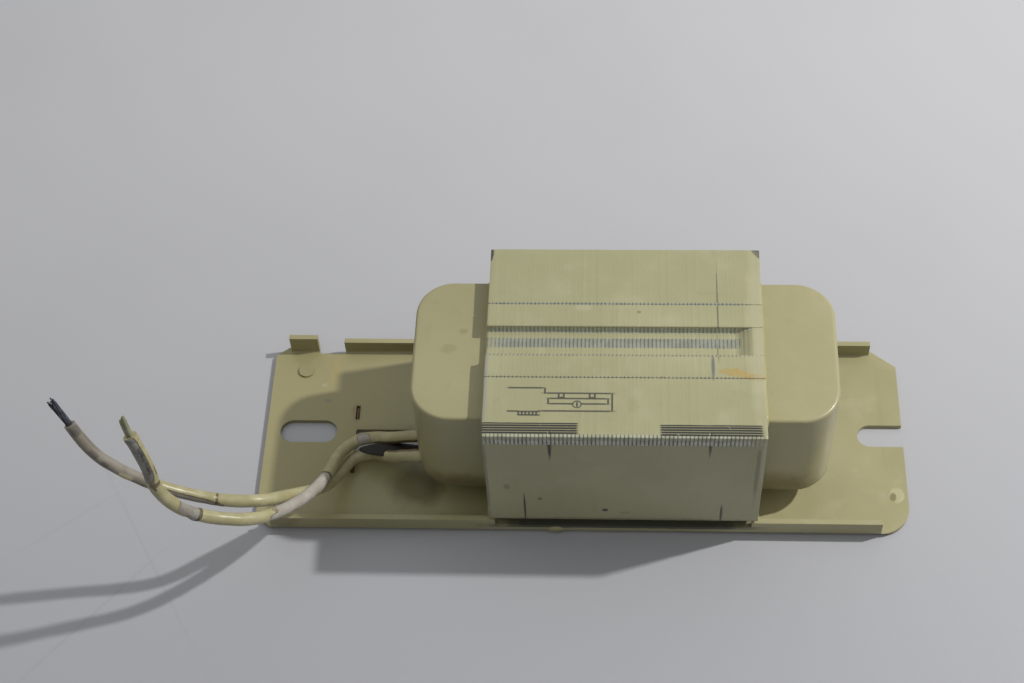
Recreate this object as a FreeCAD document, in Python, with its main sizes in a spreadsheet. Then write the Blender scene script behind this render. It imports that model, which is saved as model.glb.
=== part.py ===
"""Lamp ballast: an open choke on a folded base plate, with two stiff leads.

Frame: X runs along the base plate, towards the end with the open notch. Y runs across it, away
from the viewer. Z is up. The origin is the middle of the plate's underside. Millimetres.
"""
import FreeCAD
import Part
import math
import os
import Sketcher

doc = FreeCAD.newDocument("lamp_ballast")
sizes = doc.addObject("Spreadsheet::Sheet", "Sizes")

# Driving dimensions, one cell each
DIMENSIONS = {
    # folded base plate
    "plate_length": 121.5,
    "plate_width": 41.0,
    "sheet": 1.0,
    "bend_inside": 0.5,
    "front_edge_height": 4.4,
    "back_edge_height": 4.2,
    "front_edge_start": 3.2,
    "front_edge_end": 5.6,
    "back_edge_start": 13.75,
    "back_edge_end": 5.0,
    "hook_start": 2.95,
    "hook_width": 5.6,
    "hook_height": 5.3,
    "hook_ear_length": 1.6,
    "hook_ear_depth": 0.9,
    "relief_depth": 1.4,
    "front_left_cut_x": 3.1,
    "front_left_cut_y": 2.4,
    "back_left_cut_x": 2.5,
    "back_left_cut_y": 2.1,
    "back_right_cut_x": 4.8,
    "back_right_cut_y": 3.8,
    "front_right_radius": 6.0,
    "clinched_height": 2.8,
    "clinch_reach": 0.9,
    "clinch_inset": 1.0,
    # fixing slot and notch, lead window, slits, pip
    "fixing_line": 0.8,
    "slot_length": 11.0,
    "slot_width": 5.0,
    "slot_inset": 8.15,
    "notch_width": 4.8,
    "notch_depth": 8.5,
    "window_start": 17.35,
    "window_length": 15.0,
    "window_width": 6.2,
    "window_line": -1.8,
    "window_corner": 0.4,
    "slit_length": 3.2,
    "slit_width": 0.8,
    "slit_line": -0.9,
    "slit_spread": 6.05,
    "pip_diameter": 3.0,
    "pip_rise": 0.4,
    "pip_inset": 6.4,
    "pip_line": 14.8,
    # laminated core
    "core_centre": 7.9,
    "lamination_pitch": 0.7,
    "lamination_count": 70,
    "core_height": 32.0,
    "foot_height": 0.8,
    "foot_bevel": 0.6,
    "core_fit": 0.1,
    "shoulder_rise": 4.0,
    "yoke_height": 6.0,
    "side_limb_share": 0.158,
    "middle_limb_share": 0.332,
    "head_overhang": 1.2,
    "head_taper": 0.6,
    "channel_width": 5.9,
    "channel_depth": 1.5,
    "seam_width": 0.22,
    "seam_depth": 0.14,
    "air_gap": 0.8,
    "gap_strip_fit": 0.2,
    # coil former, winding and wrap
    "former_wall": 0.9,
    "former_fit": 0.2,
    "former_corner": 1.2,
    "winding_gap": 0.7,
    "crimp_gap": 1.05,
    "winding_corner": 5.0,
    "wrap_thickness": 0.4,
    "tail_diameter": 0.5,
    # end covers
    "cover_reach": 13.35,
    "cover_overlap": 1.0,
    "cover_drop": 3.0,
    "cover_wall": 1.2,
    "cover_corner": 7.0,
    "cover_rim_round": 0.5,
    "cover_foot_bevel": 1.2,
    # leads
    "jacket_diameter": 2.3,
    "strand_diameter": 1.25,
    "lead_hole_fit": 0.2,
    "lead_inset": 4.0,
    "lead_spacing": 4.2,
    "crimp_diameter": 2.6,
    "crimp_length": 4.0,
    "crimp_bore_depth": 2.6,
}

for row, (name, value) in enumerate(DIMENSIONS.items(), start=1):
    sizes.set(f"A{row}", name)
    sizes.set(f"B{row}", str(value))
    sizes.setAlias(f"B{row}", name)
doc.recompute()


def worked(text):
    """Returns the number that an expression over the sheet gives."""
    return float(sizes.evalExpression(text))


def cell(name):
    """Returns the number in one cell of the sheet."""
    return float(sizes.get(name))


# Derived places, as expressions over the sheet
HALF_LENGTH = "(Sizes.plate_length / 2)"
HALF_WIDTH = "(Sizes.plate_width / 2)"
SHEET = "Sizes.sheet"
STACK = "Sizes.lamination_pitch * Sizes.lamination_count"
CORE_LEFT = f"(Sizes.core_centre - {STACK} / 2)"
CORE_RIGHT = f"(Sizes.core_centre + {STACK} / 2)"
CORE_TOP = "(Sizes.sheet + Sizes.core_height)"
FOOT_TOP = "(Sizes.sheet + Sizes.foot_height)"
SHOULDER = "(Sizes.sheet + Sizes.shoulder_rise)"
FOOT_HALF = f"({HALF_WIDTH} - Sizes.sheet - Sizes.core_fit)"
LIP_HALF = f"({HALF_WIDTH} - Sizes.sheet - Sizes.clinch_reach)"
NECK_HALF = f"({LIP_HALF} - Sizes.core_fit)"
WINDOW_FLOOR = "(Sizes.sheet + Sizes.yoke_height)"
WINDOW_ROOF = f"({CORE_TOP} - Sizes.yoke_height)"
LIMB_HALF = "(Sizes.plate_width * Sizes.middle_limb_share / 2)"
WINDOW_HALF = f"({HALF_WIDTH} - Sizes.plate_width * Sizes.side_limb_share)"
HEAD_HALF = f"({LIMB_HALF} + Sizes.head_overhang)"
HEAD_FOOT_HALF = f"({HEAD_HALF} - Sizes.head_taper)"
LIMB_FOOT = f"({WINDOW_FLOOR} + Sizes.air_gap)"
TUBE_HALF_X = f"({STACK} / 2 + Sizes.former_fit + Sizes.former_wall)"
TUBE_HALF_Y = f"({LIMB_HALF} + Sizes.former_fit + Sizes.former_wall)"
FORMER_BASE = f"({WINDOW_FLOOR} + Sizes.former_fit)"
FORMER_TOP = f"({WINDOW_ROOF} - Sizes.former_fit)"
WOUND_BASE = f"({FORMER_BASE} + Sizes.former_wall)"
WOUND_TOP = f"({FORMER_TOP} - Sizes.former_wall)"
FLANGE_HALF_Y = f"({WINDOW_HALF} - 2 * Sizes.former_fit)"
COVER_INSIDE = "(Sizes.cover_reach - Sizes.cover_wall)"
FLANGE_HALF_X = f"({STACK} / 2 + {COVER_INSIDE} - Sizes.former_fit)"
WRAP_REACH = f"({COVER_INSIDE} - Sizes.crimp_gap - Sizes.crimp_length)"
WOUND_HALF_X = f"({STACK} / 2 + {WRAP_REACH} - Sizes.wrap_thickness)"
WOUND_HALF_Y = f"({WINDOW_HALF} - Sizes.winding_gap - Sizes.wrap_thickness)"
WRAP_LEFT = f"({CORE_LEFT} - {WRAP_REACH})"
COVER_BASE = f"({WINDOW_FLOOR} - Sizes.cover_overlap)"
COVER_TOP = f"({CORE_TOP} - Sizes.cover_drop)"
COVER_HALF = f"({WINDOW_HALF} + Sizes.cover_overlap)"
LEAD_HEIGHT = f"({WOUND_BASE} + Sizes.crimp_diameter / 2)"
LONG_LEAD_LINE = f"(Sizes.lead_inset - {FLANGE_HALF_Y})"
SHORT_LEAD_LINE = f"({LONG_LEAD_LINE} + Sizes.lead_spacing)"
PLATE_LEFT = f"(-{HALF_LENGTH})"
PLATE_RIGHT = HALF_LENGTH
EDGE_INSIDE = f"({HALF_WIDTH} - {SHEET})"
HOOK_RIGHT = f"({PLATE_LEFT} + Sizes.hook_start + Sizes.hook_width)"
BACK_EDGE_LEFT = f"({PLATE_LEFT} + Sizes.back_edge_start)"
CLINCH_LEFT = f"({CORE_LEFT} + Sizes.clinch_inset)"
CLINCH_RIGHT = f"({CORE_RIGHT} - Sizes.clinch_inset)"

# How far the cuts run past the solid, and the limits of the cuts that do
BEYOND = "Sizes.sheet"
OUT_LEFT = f"({PLATE_LEFT} - {BEYOND})"
OUT_RIGHT = f"({PLATE_RIGHT} + {BEYOND})"
OUT_FRONT = f"(-{HALF_WIDTH} - {BEYOND})"
OUT_BACK = f"({HALF_WIDTH} + {BEYOND})"
OUT_TOP = f"(Sizes.hook_height + {BEYOND})"


def new_body(label):
    """Makes an empty body whose label is the name of its node."""
    body = doc.addObject("PartDesign::Body", label + "_body")
    body.Label = label
    return body


def origin_part(body, role):
    """Finds a plane or an axis of a body's own origin."""
    for feature in body.Origin.OriginFeatures:
        if feature.Role == role:
            return feature
    raise ValueError(role)


def new_sketch(body, name, role, offset=None):
    """Makes a sketch on one of the body's origin planes, lifted off it by an expression."""
    sketch = body.newObject("Sketcher::SketchObject", name)
    sketch.AttachmentSupport = [(origin_part(body, role), "")]
    sketch.MapMode = "FlatFace"
    if offset is not None:
        sketch.setExpression(".AttachmentOffset.Base.z", offset)
    return sketch


def pin(sketch, curve, end, x_text, y_text):
    """Ties one end of a curve to a place given by two expressions."""
    for kind, text in (("DistanceX", x_text), ("DistanceY", y_text)):
        index = sketch.addConstraint(Sketcher.Constraint(kind, -1, 1, curve, end, worked(text)))
        sketch.setExpression(f"Constraints[{index}]", text)


def end_at(sketch, curve, point):
    """Says which end of a curve, 1 or 2, lies at a point."""
    gap = (sketch.getPoint(curve, 1) - point).Length
    other = (sketch.getPoint(curve, 2) - point).Length
    return 1 if gap <= other else 2


def curve_between(here, ahead, bend):
    """Makes the edge from one corner to the next: a line, or an arc of (radius, side)."""
    if bend is None:
        return Part.LineSegment(here, ahead)
    radius, side = worked(bend[0]), bend[1]
    chord = ahead - here
    rise = math.sqrt(max(radius ** 2 - (chord.Length / 2) ** 2, 0.0))
    across = FreeCAD.Vector(-chord.y, chord.x, 0).normalize()
    crown = (here + ahead) * 0.5 - across * side * (radius - rise)
    return Part.Arc(here, crown, ahead)


def draw_outline(sketch, corners):
    """Draws a closed outline from corners (x, y) or (x, y, (radius, side)).

    With a bend, the edge that leaves the corner is an arc of that radius, whose centre lies to the
    left (1) or to the right (-1) of the way it runs.
    """
    count = len(corners)
    points = [FreeCAD.Vector(worked(corner[0]), worked(corner[1]), 0) for corner in corners]
    bends = [corner[2] if len(corner) > 2 else None for corner in corners]
    curves = []
    for index in range(count):
        edge = curve_between(points[index], points[(index + 1) % count], bends[index])
        curves.append(sketch.addGeometry(edge))
    for index, corner in enumerate(corners):
        pin(sketch, curves[index], end_at(sketch, curves[index], points[index]), corner[0], corner[1])
        following = (index + 1) % count
        sketch.addConstraint(Sketcher.Constraint(
            "Coincident",
            curves[index], end_at(sketch, curves[index], points[following]),
            curves[following], end_at(sketch, curves[following], points[following])))
        if bends[index] is not None:
            number = sketch.addConstraint(
                Sketcher.Constraint("Radius", curves[index], worked(bends[index][0])))
            sketch.setExpression(f"Constraints[{number}]", bends[index][0])


def draw_circle(sketch, x_text, y_text, diameter):
    """Draws a circle whose centre and diameter are expressions."""
    centre = FreeCAD.Vector(worked(x_text), worked(y_text), 0)
    curve = sketch.addGeometry(Part.Circle(centre, FreeCAD.Vector(0, 0, 1), worked(diameter) / 2))
    pin(sketch, curve, 3, x_text, y_text)
    number = sketch.addConstraint(Sketcher.Constraint("Diameter", curve, worked(diameter)))
    sketch.setExpression(f"Constraints[{number}]", diameter)


def rectangle(left, right, front, back):
    """Lists the corners of a rectangle, anticlockwise."""
    return [(left, front), (right, front), (right, back), (left, back)]


def rounded_rectangle(middle, half_x, half_y, radius, line="0"):
    """Lists the corners of a rectangle with quarter-round corners, anticlockwise."""
    left, right = f"{middle} - {half_x}", f"{middle} + {half_x}"
    front, back = f"{line} - {half_y}", f"{line} + {half_y}"
    bend = (radius, 1)
    return [
        (f"{left} + {radius}", front),
        (f"{right} - {radius}", front, bend),
        (right, f"{front} + {radius}"),
        (right, f"{back} - {radius}", bend),
        (f"{right} - {radius}", back),
        (f"{left} + {radius}", back, bend),
        (left, f"{back} - {radius}"),
        (left, f"{front} + {radius}", bend),
    ]


def pad(body, sketch, name, length, middle=False):
    """Raises a sketch by an expression, on one side or about its plane."""
    feature = body.newObject("PartDesign::Pad", name)
    feature.Profile = sketch
    feature.SideType = "Symmetric" if middle else "One side"
    feature.setExpression("Length", length)
    return feature


def pocket(body, sketch, name, length=None, forward=True, middle=False):
    """Cuts a sketch: all the way through with no length, otherwise by an expression.

    Forward is the way the sketch faces: right, up or, from the XZ plane, towards the viewer.
    """
    feature = body.newObject("PartDesign::Pocket", name)
    feature.Profile = sketch
    feature.SideType = "Symmetric" if middle else "One side"
    feature.Reversed = forward and not middle
    if length is None:
        feature.Type = "ThroughAll"
    else:
        feature.setExpression("Length", length)
    return feature


def round_edges(body, name, radius, wanted, bevel=False):
    """Rounds, or bevels, the edges of the body so far for which wanted(edge) is true."""
    doc.recompute()
    base = body.Tip
    names = [f"Edge{index}" for index, edge in enumerate(base.Shape.Edges, start=1) if wanted(edge)]
    if not names:
        raise ValueError(f"{name} finds no edge")
    feature = body.newObject("PartDesign::Chamfer" if bevel else "PartDesign::Fillet", name)
    feature.Base = (base, names)
    feature.setExpression("Size" if bevel else "Radius", radius)
    return feature


def near(value, target):
    """Says whether two lengths are the same, to a hundredth."""
    return abs(value - target) < TOLERANCE


def build_base_plate():
    """Folded sheet: both long edges stand up, and both are closed over the feet of the core."""
    body = new_body("base_plate")
    section = new_sketch(body, "plate_section", "YZ_Plane")
    draw_outline(section, [
        (f"-{HALF_WIDTH}", "0"),
        (HALF_WIDTH, "0"),
        (HALF_WIDTH, "Sizes.hook_height"),
        (EDGE_INSIDE, "Sizes.hook_height"),
        (EDGE_INSIDE, SHEET),
        (f"-{EDGE_INSIDE}", SHEET),
        (f"-{EDGE_INSIDE}", "Sizes.front_edge_height"),
        (f"-{HALF_WIDTH}", "Sizes.front_edge_height"),
    ])
    pad(body, section, "channel", "Sizes.plate_length", middle=True)
    sheet, half_width = cell("sheet"), cell("plate_width") / 2
    round_edges(body, "outside_bends", "Sizes.bend_inside + Sizes.sheet", lambda edge: (
        near(edge.BoundBox.ZMax, 0) and near(abs(edge.CenterOfMass.y), half_width)))
    round_edges(body, "inside_bends", "Sizes.bend_inside", lambda edge: (
        near(edge.BoundBox.ZMin, sheet) and near(edge.BoundBox.ZMax, sheet)
        and near(abs(edge.CenterOfMass.y), half_width - sheet)))
    trim_raised_edges(body)
    cut_plate_floor(body)
    press_pip(body)
    close_lips(body)
    return body


def trim_raised_edges(body):
    """Cuts the two raised edges to length, low beside the core, with the hook tab at the back."""
    front = new_sketch(body, "front_edge_cuts", "XZ_Plane")
    draw_outline(front, rectangle(
        OUT_LEFT, f"{PLATE_LEFT} + Sizes.front_edge_start", SHEET, OUT_TOP))
    draw_outline(front, rectangle(CLINCH_LEFT, CLINCH_RIGHT, "Sizes.clinched_height", OUT_TOP))
    draw_outline(front, rectangle(
        f"{PLATE_RIGHT} - Sizes.front_edge_end", OUT_RIGHT, SHEET, OUT_TOP))
    pocket(body, front, "front_edge_trim", f"{HALF_WIDTH} + {BEYOND}")
    ear_right = f"{HOOK_RIGHT} + Sizes.hook_ear_length"
    ear_base = "Sizes.hook_height - Sizes.hook_ear_depth"
    edge_right = f"{PLATE_RIGHT} - Sizes.back_edge_end"
    back = new_sketch(body, "back_edge_cuts", "XZ_Plane")
    draw_outline(back, rectangle(OUT_LEFT, f"{PLATE_LEFT} + Sizes.hook_start", SHEET, OUT_TOP))
    draw_outline(back, [
        (HOOK_RIGHT, SHEET),
        (BACK_EDGE_LEFT, SHEET),
        (BACK_EDGE_LEFT, "Sizes.back_edge_height"),
        (CLINCH_LEFT, "Sizes.back_edge_height"),
        (CLINCH_LEFT, "Sizes.clinched_height"),
        (CLINCH_RIGHT, "Sizes.clinched_height"),
        (CLINCH_RIGHT, "Sizes.back_edge_height"),
        (edge_right, "Sizes.back_edge_height"),
        (edge_right, SHEET),
        (OUT_RIGHT, SHEET),
        (OUT_RIGHT, OUT_TOP),
        (ear_right, OUT_TOP),
        (ear_right, ear_base),
        (HOOK_RIGHT, ear_base),
    ])
    pocket(body, back, "back_edge_trim", f"{HALF_WIDTH} + {BEYOND}", forward=False)


def cut_plate_floor(body):
    """Cuts the plate's corners, slot, notch, lead window and slits, all seen from above."""
    plan = new_sketch(body, "plate_cuts", "XY_Plane")
    cut_plate_corners(plan)
    draw_outline(plan, rectangle(
        HOOK_RIGHT, BACK_EDGE_LEFT, f"{HALF_WIDTH} - Sizes.relief_depth", OUT_BACK))
    draw_slot(plan)
    draw_notch(plan)
    window_left = f"{PLATE_LEFT} + Sizes.window_start"
    draw_outline(plan, rounded_rectangle(
        f"({window_left} + Sizes.window_length / 2)", "Sizes.window_length / 2",
        "Sizes.window_width / 2", "Sizes.window_corner", "Sizes.window_line"))
    for side in ("+", "-"):
        slit = f"Sizes.slit_line {side} Sizes.slit_spread"
        draw_outline(plan, rectangle(
            f"{window_left} - Sizes.slit_width / 2", f"{window_left} + Sizes.slit_width / 2",
            f"{slit} - Sizes.slit_length / 2", f"{slit} + Sizes.slit_length / 2"))
    pocket(body, plan, "floor_cuts", middle=True)


def cut_plate_corners(plan):
    """Draws what three bevels and one round take off the plate's corners."""
    front, back = f"-{HALF_WIDTH}", HALF_WIDTH
    draw_outline(plan, [
        (OUT_LEFT, OUT_FRONT),
        (f"{PLATE_LEFT} + Sizes.front_left_cut_x", OUT_FRONT),
        (f"{PLATE_LEFT} + Sizes.front_left_cut_x", front),
        (PLATE_LEFT, f"{front} + Sizes.front_left_cut_y"),
        (OUT_LEFT, f"{front} + Sizes.front_left_cut_y"),
    ])
    draw_outline(plan, [
        (OUT_LEFT, f"{back} - Sizes.back_left_cut_y"),
        (PLATE_LEFT, f"{back} - Sizes.back_left_cut_y"),
        (f"{PLATE_LEFT} + Sizes.back_left_cut_x", back),
        (f"{PLATE_LEFT} + Sizes.back_left_cut_x", OUT_BACK),
        (OUT_LEFT, OUT_BACK),
    ])
    draw_outline(plan, [
        (f"{PLATE_RIGHT} - Sizes.back_right_cut_x", OUT_BACK),
        (f"{PLATE_RIGHT} - Sizes.back_right_cut_x", back),
        (PLATE_RIGHT, f"{back} - Sizes.back_right_cut_y"),
        (OUT_RIGHT, f"{back} - Sizes.back_right_cut_y"),
        (OUT_RIGHT, OUT_BACK),
    ])
    corner = "Sizes.front_right_radius"
    draw_outline(plan, [
        (f"{PLATE_RIGHT} - {corner}", OUT_FRONT),
        (OUT_RIGHT, OUT_FRONT),
        (OUT_RIGHT, f"{front} + {corner}"),
        (PLATE_RIGHT, f"{front} + {corner}", (corner, -1)),
        (f"{PLATE_RIGHT} - {corner}", front),
    ])


def draw_slot(plan):
    """Draws the oblong fixing slot, its ends in two quarter rounds each."""
    middle = f"({PLATE_LEFT} + Sizes.slot_inset)"
    line, reach, radius = "Sizes.fixing_line", "(Sizes.slot_length / 2)", "(Sizes.slot_width / 2)"
    bend = (radius, 1)
    draw_outline(plan, [
        (f"{middle} - {reach} + {radius}", f"{line} - {radius}"),
        (f"{middle} + {reach} - {radius}", f"{line} - {radius}", bend),
        (f"{middle} + {reach}", line, bend),
        (f"{middle} + {reach} - {radius}", f"{line} + {radius}"),
        (f"{middle} - {reach} + {radius}", f"{line} + {radius}", bend),
        (f"{middle} - {reach}", line, bend),
    ])


def draw_notch(plan):
    """Draws the open fixing notch: a slot whose right end runs out of the plate."""
    radius, line = "(Sizes.notch_width / 2)", "Sizes.fixing_line"
    left = f"{PLATE_RIGHT} - Sizes.notch_depth"
    bend = (radius, 1)
    draw_outline(plan, [
        (f"{left} + {radius}", f"{line} - {radius}"),
        (OUT_RIGHT, f"{line} - {radius}"),
        (OUT_RIGHT, f"{line} + {radius}"),
        (f"{left} + {radius}", f"{line} + {radius}", bend),
        (left, line, bend),
    ])


def press_pip(body):
    """Presses the locating pip half through: as deep below as it is high above."""
    middle, line = f"{PLATE_LEFT} + Sizes.pip_inset", "Sizes.pip_line"
    pip = new_sketch(body, "pip_top", "XY_Plane", SHEET)
    draw_circle(pip, middle, line, "Sizes.pip_diameter")
    pad(body, pip, "pip", "Sizes.pip_rise")
    dimple = new_sketch(body, "pip_underside", "XY_Plane")
    draw_circle(dimple, middle, line, f"Sizes.pip_diameter * {DIMPLE_SHARE}")
    pocket(body, dimple, "pip_dimple", "Sizes.pip_rise")


def close_lips(body):
    """Folds the two raised edges in over the feet of the laminations."""
    lips = new_sketch(body, "lip_section", "YZ_Plane", "Sizes.core_centre")
    draw_outline(lips, rectangle(
        f"-{EDGE_INSIDE}", f"-{LIP_HALF}", FOOT_TOP, "Sizes.clinched_height"))
    draw_outline(lips, rectangle(LIP_HALF, EDGE_INSIDE, FOOT_TOP, "Sizes.clinched_height"))
    pad(body, lips, "clinched_lips", f"{STACK} - 2 * Sizes.clinch_inset", middle=True)


def both_sides(half):
    """Closes an outline that is the same left and right from its right half, bottom to top."""
    return half + [(f"-({x_text})", y_text) for x_text, y_text in reversed(half)]


def cut_seams(body, sets):
    """Cuts the fine seams between laminations: one cut of each set, repeated along the stack."""
    seams = []
    for name, role, outlines in sets:
        sketch = new_sketch(body, name, role)
        for outline in outlines:
            draw_outline(sketch, outline)
        seams.append(pocket(body, sketch, name + "_cut", middle=True))
    pattern = body.newObject("PartDesign::LinearPattern", body.Label + "_seams")
    pattern.Originals = seams
    pattern.Direction = (origin_part(body, "X_Axis"), [""])
    pattern.setExpression("Length", f"{STACK} - 2 * Sizes.lamination_pitch")
    pattern.setExpression("Occurrences", "Sizes.lamination_count - 1")
    body.Tip = pattern


def seam_corners(face, inward):
    """Lists the corners of one seam's section: a V that reaches as far out of the face as in."""
    first = f"({CORE_LEFT} + Sizes.lamination_pitch)"
    outer = f"{face} {'-' if inward == '+' else '+'} Sizes.seam_depth"
    return [
        (f"{first} - Sizes.seam_width", outer),
        (f"{first} + Sizes.seam_width", outer),
        (first, f"{face} {inward} Sizes.seam_depth"),
    ]


def build_core_shell():
    """Stack of outer laminations: a frame with feet below and an opening in its top yoke."""
    body = new_body("core_shell")
    outline = new_sketch(body, "shell_lamination", "YZ_Plane", "Sizes.core_centre")
    draw_outline(outline, both_sides([
        (f"{FOOT_HALF} - Sizes.foot_bevel", SHEET),
        (FOOT_HALF, f"{SHEET} + Sizes.foot_bevel"),
        (FOOT_HALF, FOOT_TOP),
        (NECK_HALF, FOOT_TOP),
        (NECK_HALF, SHOULDER),
        (HALF_WIDTH, SHOULDER),
        (HALF_WIDTH, CORE_TOP),
        (HEAD_HALF, CORE_TOP),
        (HEAD_FOOT_HALF, WINDOW_ROOF),
        (WINDOW_HALF, WINDOW_ROOF),
        (WINDOW_HALF, WINDOW_FLOOR),
    ]))
    pad(body, outline, "shell_stack", STACK, middle=True)
    side_seams = [seam_corners(f"-{HALF_WIDTH}", "+"), seam_corners(HALF_WIDTH, "-")]
    cut_seams(body, [("side_seams", "XY_Plane", side_seams),
                     ("top_seams", "XZ_Plane", [seam_corners(CORE_TOP, "-")])])
    return body


def build_core_limb():
    """Stack of T-shaped laminations: the middle limb, its head and the channel in its top."""
    body = new_body("core_limb")
    outline = new_sketch(body, "limb_lamination", "YZ_Plane", "Sizes.core_centre")
    channel_half = "(Sizes.channel_width / 2)"
    channel_floor = f"{CORE_TOP} - Sizes.channel_depth"
    draw_outline(outline, both_sides([
        (LIMB_HALF, LIMB_FOOT),
        (LIMB_HALF, WINDOW_ROOF),
        (HEAD_FOOT_HALF, WINDOW_ROOF),
        (HEAD_HALF, CORE_TOP),
        (channel_half, CORE_TOP),
        (channel_half, channel_floor),
    ]))
    pad(body, outline, "limb_stack", STACK, middle=True)
    cut_seams(body, [("head_seams", "XZ_Plane", [seam_corners(CORE_TOP, "-")])])
    return body


def build_air_gap_strip():
    """Insulating strip that the foot of the middle limb stands on, inside the coil former."""
    strip = doc.addObject("Part::Box", "gap_strip")
    strip.Label = "air_gap_strip"
    strip.setExpression("Length", f"{STACK} - 2 * Sizes.gap_strip_fit")
    strip.setExpression("Width", f"2 * ({LIMB_HALF} - Sizes.gap_strip_fit)")
    strip.setExpression("Height", "Sizes.air_gap")
    strip.setExpression("Placement.Base.x", f"{CORE_LEFT} + Sizes.gap_strip_fit")
    strip.setExpression("Placement.Base.y", f"Sizes.gap_strip_fit - {LIMB_HALF}")
    strip.setExpression("Placement.Base.z", WINDOW_FLOOR)
    return strip


def build_coil_former():
    """Moulded bobbin: a tube round the middle limb with a flange above and below the winding."""
    body = new_body("coil_former")
    flange = rounded_rectangle("Sizes.core_centre", FLANGE_HALF_X, FLANGE_HALF_Y,
                               "(Sizes.cover_corner - Sizes.cover_wall)")
    tube = rounded_rectangle("Sizes.core_centre", TUBE_HALF_X, TUBE_HALF_Y, "Sizes.former_corner")
    lower = new_sketch(body, "lower_flange_outline", "XY_Plane", FORMER_BASE)
    draw_outline(lower, flange)
    pad(body, lower, "lower_flange", "Sizes.former_wall")
    wall = new_sketch(body, "tube_outline", "XY_Plane", FORMER_BASE)
    draw_outline(wall, tube)
    pad(body, wall, "tube", f"{FORMER_TOP} - {FORMER_BASE}")
    upper = new_sketch(body, "upper_flange_outline", "XY_Plane", WOUND_TOP)
    draw_outline(upper, flange)
    pad(body, upper, "upper_flange", "Sizes.former_wall")
    bore = new_sketch(body, "limb_opening", "XY_Plane")
    draw_outline(bore, rectangle(
        f"{CORE_LEFT} - Sizes.former_fit", f"{CORE_RIGHT} + Sizes.former_fit",
        f"-({LIMB_HALF} + Sizes.former_fit)", f"{LIMB_HALF} + Sizes.former_fit"))
    pocket(body, bore, "limb_passage")
    return body


def lead_lines():
    """Pairs each lead's name with the expression of its line across the plate."""
    return [("short_lead", SHORT_LEAD_LINE), ("long_lead", LONG_LEAD_LINE)]


def build_winding():
    """Enamelled wire as one closed coil, with a short tail out to each lead's crimp."""
    body = new_body("winding")
    ring = new_sketch(body, "winding_outline", "XY_Plane", WOUND_BASE)
    draw_outline(ring, rounded_rectangle(
        "Sizes.core_centre", WOUND_HALF_X, WOUND_HALF_Y, "Sizes.winding_corner"))
    draw_outline(ring, rounded_rectangle(
        "Sizes.core_centre", TUBE_HALF_X, TUBE_HALF_Y, "Sizes.former_corner"))
    pad(body, ring, "coil", f"{WOUND_TOP} - {WOUND_BASE}")
    tails = new_sketch(body, "tail_section", "YZ_Plane", f"{WRAP_LEFT} - {TAIL_REACH}")
    for _, line in lead_lines():
        draw_circle(tails, line, LEAD_HEIGHT, "Sizes.tail_diameter")
    pad(body, tails, "tails", f"{TAIL_REACH} + Sizes.wrap_thickness + Sizes.winding_corner")
    return body


def build_winding_wrap():
    """Insulating tape wound once round the coil, with a hole for each tail."""
    body = new_body("winding_wrap")
    band = new_sketch(body, "wrap_outline", "XY_Plane", WOUND_BASE)
    draw_outline(band, rounded_rectangle(
        "Sizes.core_centre", f"({WOUND_HALF_X} + Sizes.wrap_thickness)",
        f"({WOUND_HALF_Y} + Sizes.wrap_thickness)", "(Sizes.winding_corner + Sizes.wrap_thickness)"))
    draw_outline(band, rounded_rectangle(
        "Sizes.core_centre", WOUND_HALF_X, WOUND_HALF_Y, "Sizes.winding_corner"))
    pad(body, band, "wrap", f"{WOUND_TOP} - {WOUND_BASE}")
    holes = new_sketch(body, "tail_holes_section", "YZ_Plane", f"{WRAP_LEFT} - {BEYOND}")
    for _, line in lead_lines():
        draw_circle(holes, line, LEAD_HEIGHT, "Sizes.tail_diameter")
    pocket(body, holes, "tail_holes", f"{BEYOND} + Sizes.wrap_thickness + Sizes.winding_corner")
    return body


def build_end_cover(label, side, with_holes):
    """Moulded cover over one end of the coil, open where it butts against the core.

    side is "-" for the left end and "+" for the right one.
    """
    body = new_body(label)
    back = "+" if side == "-" else "-"
    face = f"(Sizes.core_centre {side} {STACK} / 2)"
    turn = 1 if side == "+" else -1

    def outline(inset):
        """Lists the corners of the cover's plan, drawn in by an expression."""
        end = f"{face} {side} Sizes.cover_reach {back} {inset}"
        half = f"({COVER_HALF} - {inset})"
        radius = f"(Sizes.cover_corner - {inset})"
        return [
            (face, f"-{half}"),
            (f"{end} {back} {radius}", f"-{half}", (radius, turn)),
            (end, f"-{half} + {radius}"),
            (end, f"{half} - {radius}", (radius, turn)),
            (f"{end} {back} {radius}", half),
            (face, half),
        ]

    block = new_sketch(body, label + "_outline", "XY_Plane", COVER_BASE)
    draw_outline(block, outline("0"))
    pad(body, block, label + "_block", f"{COVER_TOP} - {COVER_BASE}")
    base, top, face_x = worked(COVER_BASE), worked(COVER_TOP), worked(face)
    round_edges(body, label + "_rim", "Sizes.cover_rim_round", lambda edge: (
        near(edge.BoundBox.ZMin, top) and not near(edge.CenterOfMass.x, face_x)))
    round_edges(body, label + "_foot", "Sizes.cover_foot_bevel", lambda edge: (
        near(edge.BoundBox.ZMax, base) and not near(edge.CenterOfMass.x, face_x)), bevel=True)
    cavity = new_sketch(body, label + "_cavity", "XY_Plane", f"{COVER_BASE} + Sizes.cover_wall")
    draw_outline(cavity, outline("Sizes.cover_wall"))
    pocket(body, cavity, label + "_inside", f"{COVER_TOP} - {COVER_BASE} - 2 * Sizes.cover_wall")
    if with_holes:
        holes = new_sketch(body, "lead_holes_section", "YZ_Plane",
                           f"{face} {side} Sizes.cover_reach {side} {BEYOND}")
        for _, line in lead_lines():
            draw_circle(holes, line, LEAD_HEIGHT,
                        "Sizes.jacket_diameter + Sizes.lead_hole_fit")
        pocket(body, holes, "lead_holes", f"{BEYOND} + Sizes.cover_corner")
    return body


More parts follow.
